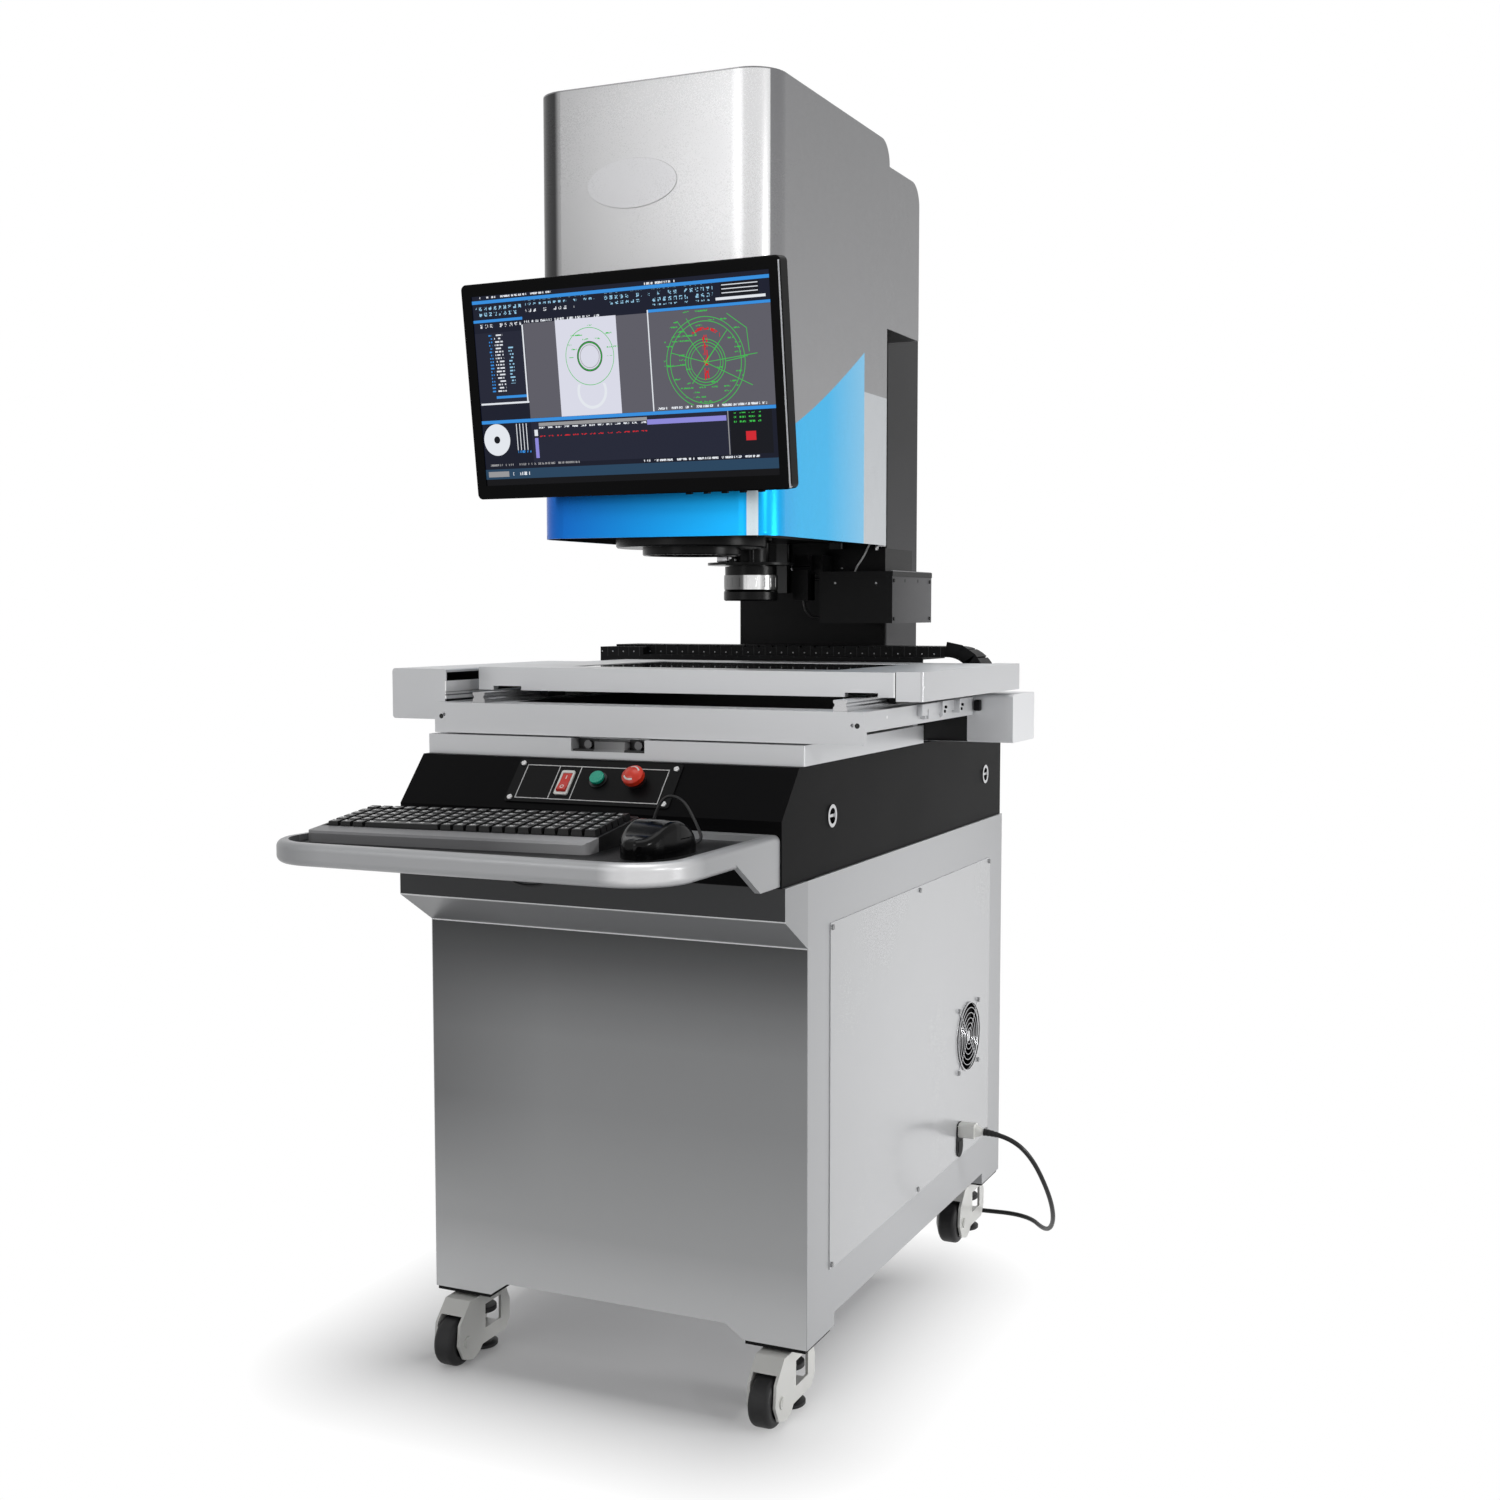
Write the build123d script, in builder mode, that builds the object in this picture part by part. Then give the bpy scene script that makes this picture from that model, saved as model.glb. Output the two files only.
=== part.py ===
from build123d import *
import math
import os

os.makedirs("parts", exist_ok=True)

# Free-standing vision measuring machine, in millimetres.
# x runs along the front, y from front to back, z up from the floor.

# place of the cabinet's front edge, so that the machine stands centred on the origin
machine_x = -27.5
machine_y = -246

# clearances
fit = 0.05
gap = 0.3

# cabinet of folded sheet
cabinet_width = 600
cabinet_depth = 900
sheet = 2
leg_bottom = 103
leg_drop = 19.5
leg_width = 95
leg_depth = 100
leg_spread = 28
slant_start = 657
slant_end = 704
nose = 78
cabinet_top = 749
half = cabinet_width / 2
skirt_bottom = leg_bottom + leg_drop

# screwed panel on the right side
panel_front = 78
panel_rear = 826
panel_bottom = 190
panel_top = 680
panel_sheet = 1.5
panel_flange = 20
panel_corner = 3
panel_screw_inset = 6.5
screw_radius = 2
screw_head_radius = 3.8
screw_head_height = 2.2

# cooling fan
fan_y = 705.8
fan_z = 388.4
fan_size = 120
fan_depth = 25
fan_pitch = 105
fan_bore = 57.5
fan_hub = 20
fan_pin = 3
fan_blades = 7
guard_rings = 6
guard_wire = 1.8

# mains inlet
inlet_y = 663
inlet_z = 221
inlet_width = 32
inlet_height = 60
inlet_flange = 2
inlet_depth = 24
inlet_body_drop = 9
socket_z = 238
socket_width = 24
socket_height = 17
socket_depth = 12

# black housing above the cabinet
housing_half = 296
housing_height = 153.4
housing_wall = 3
housing_nose = 80
front_rise = 87.4
slope_depth = 59
housing_top = cabinet_top + housing_height
slope_rise = housing_height - front_rise
slope_length = math.hypot(slope_depth, slope_rise)
lift_front_y = 92.7
lift_rear_y = 806
lift_z = 827
lift_radius = 13.5
lift_rim = 2.5
lift_rim_height = 2
lift_length = 30
cord_hole = 6
cord_hole_z = 771

# control panel on the slope
board_half = 128
board_bottom = 11
board_top = 85
board_sheet = 2
board_corner = 4
board_screw_x = 120
board_screw_low = 17
board_screw_high = 76
rocker_x = -42.5
rocker_s = 45
rocker_width = 14
rocker_length = 31
bezel_width = 21
bezel_length = 41
bezel_height = 2.5
lamp_x = 8
lamp_s = 52
lamp_radius = 10.5
lamp_rim = 2.5
stop_x = 67
stop_s = 52
stop_radius = 15.4
stop_stem = 8
stop_collar = 13
switch_depth = 22

# base plate and lock bracket
base_half = 297
base_front = -7
base_rear = 480
base_height = 28
base_top = housing_top + base_height
notch_half = 58
notch_depth = 24
notch_floor = 10
lock_sheet = 3
lock_screw_x = 40
lock_screw_radius = 6

# guide rails
rail_width = 20
rail_height = 15
rail_waist = 2
x_rail_front = 38
x_rail_rear = 453
x_rail_half = 292
z_rail_x = 50
z_rail_bottom = 1140
z_rail_top = 1560

# middle stage, which moves along x
stage_shift = 62
carriage_lift = 2.2
apron_left = -352
apron_right = 316
apron_sheet = 12
plate_left = -320
plate_rear = 478
plate_height = 27
carriage_height = 43.5
carriage_bar_x = 70
carriage_bar_y = 60
x_block_x = 110
x_block_length = 56
block_width = 44
wing_left = -440
wing_front = 100
wing_rear = 420
wing_height = 3
apron_bottom = base_top + carriage_lift
carriage_top = apron_bottom + carriage_height
plate_bottom = carriage_top - plate_height
y_rail_x = 280.5
y_rail_front = 6
y_rail_rear = 474
y_rail_pitch = 60
y_rail_hole = 4.5

# top stage, which moves along y
stage_half = 330
stage_front = 84
stage_depth = 466
stage_lift = 0.6
stage_height = 34
stage_plate = 16
stage_skirt = 14
stage_notch = 48
stage_notch_rise = 6
stage_bar_width = 38.5
stage_bar_drop = 5
stage_bar_rise = 1
stage_corner = 4
y_block_front = 165
y_block_rear = 377
y_block_length = 50
glass_x = 430
glass_y = 310
glass_thickness = 8
glass_ledge = 10
glass_recess = 0.7
stage_bottom = carriage_top + rail_height + stage_lift
stage_top = stage_bottom + stage_height
stage_rear = stage_front + stage_depth
arm_y = 310
arm_width = 60

# drive covers
y_cover_left = -447
y_cover_front = 30
y_cover_rear = 474
y_cover_height = 74.5
cover_wall = 2
cover_round = 5
y_slot_height = 12.5
y_step_drop = 15
y_step_height = 6
y_line_drop = 27
y_line_height = 3
y_groove_depth = 0.8
x_cover_left = -300
x_cover_right = 440
x_cover_front = 480
x_cover_rear = 600
x_cover_bottom = 906
x_cover_top = 980.5
x_slot_half = 195
x_arm_half = 28

# column and head cover
column_half = 138.8
column_front = 734
column_rear = 898
column_wall = 6
column_top = 1600
head_half = 192
head_front = 121
head_rear = 742
head_bottom = 1215
head_top = 1860
head_step = 38
head_step_y = 596
head_notch_y = 588
head_notch_z = 1564
head_corner = 50
head_round = 38
head_wall = 2.5
head_flange = 12

# optics
lens_y = 260
lens_ring = 114
lens_tier = 74
lens_barrel = 100
lens_bottom = 1191.6
lens_tier_height = 11.4
lens_ring_height = 18
lens_top = 1560
zoom_y = 478
zoom_bottom = 1125
zoom_foot = 44
zoom_foot_height = 18
zoom_grip = 43.6
zoom_grip_height = 23
zoom_core = 36
zoom_collar = 42
zoom_collar_height = 14
zoom_flange = 70
zoom_flange_height = 4
zoom_neck = 30
shelf_bottom = 1226
shelf_height = 20
shelf_rim = 8
neck_half = 44
z_plate_half = 70
z_plate_height = 200
z_plate_depth = 12

# control box on the column
box_left = 95
box_right = 221
box_front = 540
box_bottom = 1089
box_top = 1164.5
box_lid = 8
tower_left = 80
tower_right = 186
tower_front = 602
tower_top = 1211
finger_left = 48
finger_right = 74
finger_bottom = 1126
finger_top = 1200
finger_depth = 30

# cable chain behind the stage
chain_front = 628
chain_width = 84
chain_left = -330
chain_bend_x = 285
chain_top = 1050
chain_thickness = 17
chain_bend = 60
link_pitch = 26
link_slit = 3
shelf_left = -350
shelf_right = 250
shelf_front = 606
shelf_rear = 722
shelf_sheet = 4
shelf_flange = 44
anchor_width = 85
anchor_height = 26

# monitor
monitor_x = 7
monitor_y = 23
monitor_z = 1422
monitor_yaw = -2.8
monitor_tilt = 7.2
monitor_width = 510
monitor_height = 305
screen_width = 476
screen_height = 268
screen_rise = 1
monitor_rim = 22
monitor_depth = 45
monitor_back_width = 330
monitor_back_height = 210
monitor_corner = 8
screen_recess = 1.5
screen_thickness = 3
tilt_offset = 61
tilt_pin = 4
tilt_barrel = 8
tilt_half = 20
swivel_offset = 20
swivel_pin = 5
swivel_barrel = 9
swivel_half = 22
lug = 8
wall_plate = 100
wall_plate_sheet = 4
key_count = 5

# keyboard tray
tray_half = 293.5
tray_front = -408
tray_bottom = 790
tray_top = 819
tray_rim = 15
tray_floor = 8
tray_corner = 78
tray_round = 9
tray_rear_rim = 20
bracket_sheet = 8
bracket_bottom = 751.5
bracket_foot_y = -142
bracket_toe_y = -218
mat_height = 13
mat_top = tray_bottom + tray_floor + mat_height
cord_slot_y = -118
cord_slot = 7

# keyboard
keyboard_x = -72
keyboard_y = -235
keyboard_turn = 5
keyboard_width = 398
keyboard_depth = 168
keyboard_front_height = 15
keyboard_rear_height = 30
keyboard_corner = 9
key_pitch = 18.4
key_columns = 21
key_rows = 5
key_size = 15.8
key_height = 9
key_sink = 5
key_travel = 3
key_carrier = 2
space_keys = 6

# mouse
mouse_x = 205
mouse_y = -259
mouse_turn = -13
mouse_width = 68
mouse_length = 118
mouse_height = 42
mouse_split_y = 8
mouse_split_z = 20
mouse_wheel_radius = 11
mouse_wheel_width = 6
mouse_wheel_y = 30
mouse_wheel_sink = 4
mouse_slot = 11
mouse_axle = 1.5

# casters with levelling pads
stem_x = 252
stem_front_y = 46
stem_rear_y = 852
mount_size = 90
mount_sheet = 5
mount_boss = 24
king_pin = 8
king_head = 12
fork_top = 94
fork_inner = 17.5
fork_sheet = 4
wheel_radius = 36
wheel_width = 32
wheel_trail = 71
wheel_bore = 5
wheel_round = 8
pad_radius = 25
pad_clear = 4
pad_height = 8
spindle = 5
spindle_top = 70
dial_radius = 23.5
dial_bottom = 58
dial_height = 8
web_bottom = 34
web_height = 6

# cords
desk_cord = 2.1
mains_cord = 4
plug_height = 24
plug_width = 22
plug_length = 27
plug_taper = 14
plug_entry = 10
coil_x = 145
coil_y = 985
coil_radius = 36
coil_columns = 2
coil_rows = 3
end_plug_length = 26
end_plug_width = 26
end_plug_height = 18
end_plug_taper = 10
end_plug_inset = 36
plug_pin = 2.4
plug_pin_length = 19
plug_pin_pitch = 19

# working planes
home = Plane((machine_x, machine_y, 0))
side = Plane(origin=(machine_x, machine_y, 0), x_dir=(0, 1, 0), z_dir=(1, 0, 0))
face = Plane(origin=(machine_x, machine_y, 0), x_dir=(1, 0, 0), z_dir=(0, -1, 0))
shifted = Plane((machine_x + stage_shift, machine_y, 0))
slope = Plane(
    origin=(machine_x, machine_y - housing_nose, cabinet_top + front_rise),
    x_dir=(1, 0, 0),
    z_dir=(0, -slope_rise, slope_depth),
)
fan_plane = Plane(
    origin=(machine_x + half, machine_y + fan_y, fan_z),
    x_dir=(0, 1, 0),
    z_dir=(1, 0, 0),
)


def slab(x_min, x_max, y_min, y_max, z_min, z_max, mode=Mode.ADD):
    with Locations(((x_min + x_max) / 2, (y_min + y_max) / 2, (z_min + z_max) / 2)):
        Box(x_max - x_min, y_max - y_min, z_max - z_min, mode=mode)


def post(x, y, z_min, z_max, radius, mode=Mode.ADD):
    with Locations((x, y, (z_min + z_max) / 2)):
        Cylinder(radius, z_max - z_min, mode=mode)


def rod_x(x_min, x_max, y, z, radius, mode=Mode.ADD):
    with Locations(((x_min + x_max) / 2, y, z)):
        Cylinder(radius, x_max - x_min, rotation=(0, 90, 0), mode=mode)


def rod_y(x, y_min, y_max, z, radius, mode=Mode.ADD):
    with Locations((x, (y_min + y_max) / 2, z)):
        Cylinder(radius, y_max - y_min, rotation=(90, 0, 0), mode=mode)


# cabinet: a folded shell with a nose under the tray and four chamfered legs
cabinet_outline = [
    (0, skirt_bottom),
    (0, slant_start),
    (-nose, slant_end),
    (-nose, cabinet_top),
    (cabinet_depth, cabinet_top),
    (cabinet_depth, skirt_bottom),
]
panel_screw_ys = [panel_front + panel_screw_inset, (panel_front + panel_rear) / 2, panel_rear - panel_screw_inset]
panel_screw_zs = [panel_bottom + panel_screw_inset, panel_top - panel_screw_inset]
with BuildPart(home) as cabinet_body:
    with BuildSketch(side):
        Polygon(*cabinet_outline, align=None)
    extrude(amount=half, both=True)
    with BuildSketch(side):
        Polygon(*cabinet_outline, align=None)
        offset(amount=-sheet, kind=Kind.INTERSECTION, mode=Mode.REPLACE)
    extrude(amount=half - sheet, both=True, mode=Mode.SUBTRACT)
    for x_side in (-1, 1):
        for edge, inward in ((0, 1), (cabinet_depth, -1)):
            with BuildSketch(home.offset(leg_bottom)):
                with Locations((x_side * (half - leg_width / 2), edge + inward * leg_depth / 2)):
                    Rectangle(leg_width, leg_depth)
            with BuildSketch(home.offset(skirt_bottom)):
                with Locations((x_side * (half - (leg_width + leg_spread) / 2), edge + inward * leg_depth / 2)):
                    Rectangle(leg_width + leg_spread, leg_depth)
            loft()
    slab(
        half - 2 * sheet, half + sheet, panel_front + panel_flange, panel_rear - panel_flange,
        panel_bottom + panel_flange, panel_top - panel_flange, Mode.SUBTRACT,
    )
    for screw_y in panel_screw_ys:
        for screw_z in panel_screw_zs:
            rod_x(half - 2 * sheet, half + sheet, screw_y, screw_z, screw_radius + fit, Mode.SUBTRACT)
cabinet_body.part.label = "cabinet_body"
export_step(cabinet_body.part, "parts/cabinet_body.step")

# side panel with the fan opening and the inlet cut-out
with BuildPart(home) as access_panel:
    slab(half, half + panel_sheet, panel_front, panel_rear, panel_bottom, panel_top)
    fillet(access_panel.edges().filter_by(Axis.X), radius=panel_corner)
    rod_x(half - sheet, half + 2 * sheet, fan_y, fan_z, fan_bore, Mode.SUBTRACT)
    for screw_y in panel_screw_ys:
        for screw_z in panel_screw_zs:
            rod_x(half - sheet, half + 2 * sheet, screw_y, screw_z, screw_radius + fit, Mode.SUBTRACT)
    for y_side in (-1, 1):
        for z_side in (-1, 1):
            rod_x(
                half - sheet, half + 2 * sheet, fan_y + y_side * fan_pitch / 2, fan_z + z_side * fan_pitch / 2,
                screw_radius + fit, Mode.SUBTRACT,
            )
    slab(
        half - sheet, half + 2 * sheet, inlet_y - socket_width / 2 - sheet - fit,
        inlet_y + socket_width / 2 + sheet + fit, inlet_z - inlet_body_drop - fit,
        inlet_z + inlet_height / 2 - sheet + fit, Mode.SUBTRACT,
    )
access_panel.part.label = "access_panel"
export_step(access_panel.part, "parts/access_panel.step")

# fan frame with its motor seat on three struts
with BuildPart(fan_plane) as fan_frame:
    with BuildSketch(fan_plane.offset(-fan_depth)):
        RectangleRounded(fan_size, fan_size, panel_corner * 2)
        Circle(fan_bore, mode=Mode.SUBTRACT)
        with GridLocations(fan_pitch, fan_pitch, 2, 2):
            Circle(screw_radius + fit, mode=Mode.SUBTRACT)
    extrude(amount=fan_depth)
    with BuildSketch(fan_plane.offset(-fan_depth)):
        Circle(fan_hub)
        with PolarLocations(fan_hub / 2 + fan_bore / 2, 3):
            Rectangle(fan_bore - fan_hub + 2, 4)
    extrude(amount=3)
    with BuildSketch(fan_plane.offset(-fan_depth)):
        Circle(fan_pin)
    extrude(amount=fan_depth - 3)
fan_frame.part.label = "fan_frame"
export_step(fan_frame.part, "parts/fan_frame.step")

# seven pitched blades round a hub
with BuildPart(fan_plane) as fan_rotor:
    with Locations((0, 0, -fan_depth / 2)):
        Cylinder(fan_hub, fan_depth - 10)
        with PolarLocations(fan_hub / 2 + fan_bore / 2, fan_blades):
            Box(fan_bore - fan_hub + 6, 1.6, 24, rotation=(50, 0, 0))
        Cylinder(fan_bore - 1.5, fan_depth - 8, mode=Mode.INTERSECT)
        Cylinder(fan_pin + fit, fan_depth, mode=Mode.SUBTRACT)
fan_rotor.part.label = "fan_rotor"
export_step(fan_rotor.part, "parts/fan_rotor.step")

# ring guard outside the panel
with BuildPart(fan_plane) as fan_grille:
    with BuildSketch(fan_plane.offset(panel_sheet)):
        with GridLocations(fan_pitch, fan_pitch, 2, 2):
            Circle(4.5)
        Rectangle(fan_pitch * math.sqrt(2), 3, rotation=45)
        Rectangle(fan_pitch * math.sqrt(2), 3, rotation=-45)
        Circle(9)
        with GridLocations(fan_pitch, fan_pitch, 2, 2):
            Circle(screw_radius + fit, mode=Mode.SUBTRACT)
    extrude(amount=guard_wire)
    with BuildSketch(fan_plane.offset(panel_sheet + guard_wire)):
        for ring in range(guard_rings):
            ring_radius = 14 + ring * (fan_bore - 14) / (guard_rings - 1)
            Circle(ring_radius + guard_wire / 2)
            Circle(ring_radius - guard_wire / 2, mode=Mode.SUBTRACT)
    extrude(amount=guard_wire)
fan_grille.part.label = "fan_grille"
export_step(fan_grille.part, "parts/fan_grille.step")

# mains inlet: oblong flange, socket above a fuse drawer
with BuildPart(home) as power_inlet:
    with BuildSketch(side.offset(half + panel_sheet)):
        with Locations((inlet_y, inlet_z)):
            SlotOverall(inlet_height, inlet_width, rotation=90)
    extrude(amount=inlet_flange)
    slab(
        half - inlet_depth, half + panel_sheet, inlet_y - socket_width / 2 - sheet,
        inlet_y + socket_width / 2 + sheet, inlet_z - inlet_body_drop,
        inlet_z + inlet_height / 2 - sheet,
    )
    slab(
        half + panel_sheet + inlet_flange - socket_depth, half + panel_sheet + 2 * inlet_flange,
        inlet_y - socket_width / 2, inlet_y + socket_width / 2,
        socket_z - socket_height / 2, socket_z + socket_height / 2, Mode.SUBTRACT,
    )
    slab(
        half + panel_sheet, half + panel_sheet + inlet_flange + 0.8, inlet_y - socket_width / 2 + 3,
        inlet_y + socket_width / 2 - 3, inlet_z - inlet_height / 2 + 9, inlet_z - 2,
    )
power_inlet.part.label = "power_inlet"
export_step(power_inlet.part, "parts/power_inlet.step")

# black housing: sloped front, sockets in the sides, cord holes under the tray
housing_outline = [
    (-housing_nose, cabinet_top),
    (-housing_nose, cabinet_top + front_rise),
    (-housing_nose + slope_depth, housing_top),
    (cabinet_depth, housing_top),
    (cabinet_depth, cabinet_top),
]
lift_places = [(lift_front_y, lift_z), (lift_rear_y, lift_z)]
keyboard_hole_x = -112
keyboard_port_x = -26
mouse_hole_x = 120
with BuildPart(home) as housing:
    with BuildSketch(side):
        Polygon(*housing_outline, align=None)
    extrude(amount=housing_half, both=True)
    with BuildSketch(side):
        Polygon(*housing_outline, align=None)
        offset(amount=-housing_wall, kind=Kind.INTERSECTION, mode=Mode.REPLACE)
    extrude(amount=housing_half - housing_wall, both=True, mode=Mode.SUBTRACT)
    for lift_y, lift_height in lift_places:
        rod_x(-half, half, lift_y, lift_height, lift_radius + fit, Mode.SUBTRACT)
    for hole_x in (keyboard_port_x, mouse_hole_x):
        rod_y(hole_x, -housing_nose - 1, -housing_nose + 2 * housing_wall, cord_hole_z, cord_hole, Mode.SUBTRACT)
    with BuildSketch(slope):
        with Locations((0, (board_bottom + board_top) / 2)):
            Rectangle(2 * board_half - 36, board_top - board_bottom - 24)
    extrude(amount=-2 * housing_wall, mode=Mode.SUBTRACT)
    with BuildSketch(slope):
        for screw_s in (board_screw_low, board_screw_high):
            with Locations((-board_screw_x, screw_s), (board_screw_x, screw_s)):
                Circle(screw_radius + fit)
    extrude(amount=-2 * housing_wall, mode=Mode.SUBTRACT)
housing.part.label = "housing"
export_step(housing.part, "parts/housing.step")

# rimmed sockets for carrying bars, each with a cross bar
with BuildPart(home) as lift_sockets:
    for x_side in (-1, 1):
        for lift_y, lift_height in lift_places:
            tube_start = x_side * (housing_half - lift_length)
            tube_end = x_side * (housing_half + lift_rim_height)
            rod_x(min(tube_start, tube_end), max(tube_start, tube_end), lift_y, lift_height, lift_radius)
            rim_start = x_side * housing_half
            rod_x(min(rim_start, tube_end), max(rim_start, tube_end), lift_y, lift_height, lift_radius + lift_rim)
            bore_end = x_side * (housing_half + 2 * lift_rim_height)
            rod_x(min(tube_start, bore_end), max(tube_start, bore_end), lift_y, lift_height,
                  lift_radius - lift_rim, Mode.SUBTRACT)
            bar_start = x_side * (housing_half - 6)
            slab(
                min(bar_start, rim_start), max(bar_start, rim_start), lift_y - lift_radius + 1,
                lift_y + lift_radius - 1, lift_height - 2, lift_height + 2,
            )
lift_sockets.part.label = "lift_sockets"
export_step(lift_sockets.part, "parts/lift_sockets.step")

# control panel plate
board_middle = (board_bottom + board_top) / 2
with BuildPart(slope) as control_panel:
    with BuildSketch(slope):
        with Locations((0, board_middle)):
            RectangleRounded(2 * board_half, board_top - board_bottom, board_corner)
        with Locations((rocker_x, rocker_s)):
            Rectangle(bezel_width - 4 + 2 * fit, bezel_length - 4 + 2 * fit, mode=Mode.SUBTRACT)
        with Locations((lamp_x, lamp_s)):
            Circle(lamp_radius + fit, mode=Mode.SUBTRACT)
        with Locations((stop_x, stop_s)):
            Circle(stop_collar - 2 + fit, mode=Mode.SUBTRACT)
        for screw_s in (board_screw_low, board_screw_high):
            with Locations((-board_screw_x, screw_s), (board_screw_x, screw_s)):
                Circle(screw_radius + fit, mode=Mode.SUBTRACT)
    extrude(amount=board_sheet)
control_panel.part.label = "control_panel"
export_step(control_panel.part, "parts/control_panel.step")

# bodies of the three switches, seated on the panel and reaching behind it
board_face = slope.offset(board_sheet)
with BuildPart(board_face) as switch_bezels:
    with BuildSketch(board_face):
        with Locations((rocker_x, rocker_s)):
            RectangleRounded(bezel_width, bezel_length, 3)
    extrude(amount=bezel_height)
    with BuildSketch(board_face.offset(-switch_depth)):
        with Locations((rocker_x, rocker_s)):
            Rectangle(bezel_width - 4, bezel_length - 4)
        with Locations((lamp_x, lamp_s)):
            Circle(lamp_radius)
        with Locations((stop_x, stop_s)):
            Circle(stop_collar - 2)
    extrude(amount=switch_depth)
    with BuildSketch(board_face):
        with Locations((lamp_x, lamp_s)):
            Circle(lamp_radius + lamp_rim)
        with Locations((stop_x, stop_s)):
            Circle(stop_collar)
    extrude(amount=bezel_height)
    with BuildSketch(board_face.offset(bezel_height)):
        with Locations((rocker_x, rocker_s)):
            Rectangle(rocker_width + 4 * gap, rocker_length + 4 * gap)
        with Locations((lamp_x, lamp_s)):
            Circle(lamp_radius - lamp_rim + gap)
        with Locations((stop_x, stop_s)):
            Circle(stop_stem + fit)
    extrude(amount=-switch_depth + 4, mode=Mode.SUBTRACT)
switch_bezels.part.label = "switch_bezels"
export_step(switch_bezels.part, "parts/switch_bezels.step")

# rocker: a shallow V with round ends, tipping about a pivot just under the bezel
rocker_pivot = 1
rocker_crown = 2.9
rocker_swing = 14
rocker_rest = 11
rocker_end = rocker_length / 2 + 0.2
rocker_high = rocker_crown + 20 * math.tan(math.radians(rocker_rest))
rocker_low = rocker_crown + 20 * math.tan(math.radians(rocker_rest - rocker_swing))
with BuildPart(board_face) as power_rocker:
    rocker_side = Plane(
        origin=board_face.from_local_coords((rocker_x, rocker_s, 0)),
        x_dir=board_face.y_dir,
        z_dir=board_face.x_dir,
    )
    with BuildSketch(rocker_side):
        with Locations((0, -rocker_pivot)):
            Circle(rocker_end)
        Polygon(
            (-20, rocker_high), (0, rocker_crown), (20, rocker_low), (20, -9), (-20, -9),
            align=None, mode=Mode.INTERSECT,
        )
    extrude(amount=rocker_width / 2, both=True)
power_rocker.part.label = "power_rocker"
export_step(power_rocker.part, "parts/power_rocker.step")

# sprung lamp button with a domed cap
with BuildPart(board_face) as lamp_button:
    lamp_side = Plane(
        origin=board_face.from_local_coords((lamp_x, lamp_s, 0)),
        x_dir=board_face.x_dir,
        z_dir=board_face.y_dir,
    )
    cap_radius = lamp_radius - lamp_rim
    with BuildSketch(board_face.offset(-8)):
        with Locations((lamp_x, lamp_s)):
            Circle(cap_radius)
    extrude(amount=8 + bezel_height)
    with BuildSketch(board_face.offset(bezel_height + 3.2)):
        with Locations((lamp_x, lamp_s)):
            Circle(lamp_radius)
    extrude(amount=4)
    with BuildSketch(board_face.offset(bezel_height)):
        with Locations((lamp_x, lamp_s)):
            Circle(cap_radius)
    extrude(amount=4)
    fillet(lamp_button.faces().sort_by(Axis(slope.origin, slope.z_dir))[-1].edges(), radius=1.5)
lamp_button.part.label = "lamp_button"
export_step(lamp_button.part, "parts/lamp_button.step")

# red mushroom button, turned from one profile; the dome's centre lies on the axis
stop_dome = (stop_radius ** 2 + 6.5 ** 2) / (2 * 6.5)
with BuildPart(board_face) as emergency_stop:
    stop_axis_plane = Plane(
        origin=board_face.from_local_coords((stop_x, stop_s, 0)),
        x_dir=board_face.x_dir,
        z_dir=-board_face.y_dir,
    )
    with BuildSketch(stop_axis_plane):
        with BuildLine():
            Polyline(
                (0, -switch_depth + 12),
                (stop_stem, -switch_depth + 12),
                (stop_stem, bezel_height + 6),
                (stop_radius, bezel_height + 8),
                (stop_radius, bezel_height + 15),
            )
            RadiusArc((0, bezel_height + 21.5), (stop_radius, bezel_height + 15), stop_dome)
            Line((0, bezel_height + 21.5), (0, -switch_depth + 12))
        make_face()
    revolve(axis=Axis(stop_axis_plane.origin, board_face.z_dir))
emergency_stop.part.label = "emergency_stop"
export_step(emergency_stop.part, "parts/emergency_stop.step")

# base plate with a pocket for the transport lock
with BuildPart(home) as base_plate:
    slab(-base_half, base_half, base_front, base_rear, housing_top, base_top)
    fillet(base_plate.edges().filter_by(Axis.Z), radius=3)
    slab(
        -notch_half, notch_half, base_front - 1, base_front + notch_depth,
        housing_top + notch_floor, base_top + 1, Mode.SUBTRACT,
    )
base_plate.part.label = "base_plate"
export_step(base_plate.part, "parts/base_plate.step")

# lock bracket: an angle with a raised middle
lock_back = base_front + notch_depth
lock_screw_z = base_top - 9
with BuildPart(home) as lock_bracket:
    slab(
        -notch_half + 1, notch_half - 1, base_front + 4, lock_back,
        housing_top + notch_floor, housing_top + notch_floor + lock_sheet,
    )
    slab(-notch_half + 1, notch_half - 1, lock_back - lock_sheet, lock_back, housing_top + notch_floor, base_top - 1)
    slab(-24, 24, base_front + 6, lock_back, housing_top + notch_floor, base_top - 4)
    for x_side in (-1, 1):
        rod_y(
            x_side * lock_screw_x, lock_back - 2 * lock_sheet, lock_back + 1, lock_screw_z,
            screw_radius + fit, Mode.SUBTRACT,
        )
lock_bracket.part.label = "lock_bracket"
export_step(lock_bracket.part, "parts/lock_bracket.step")

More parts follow.
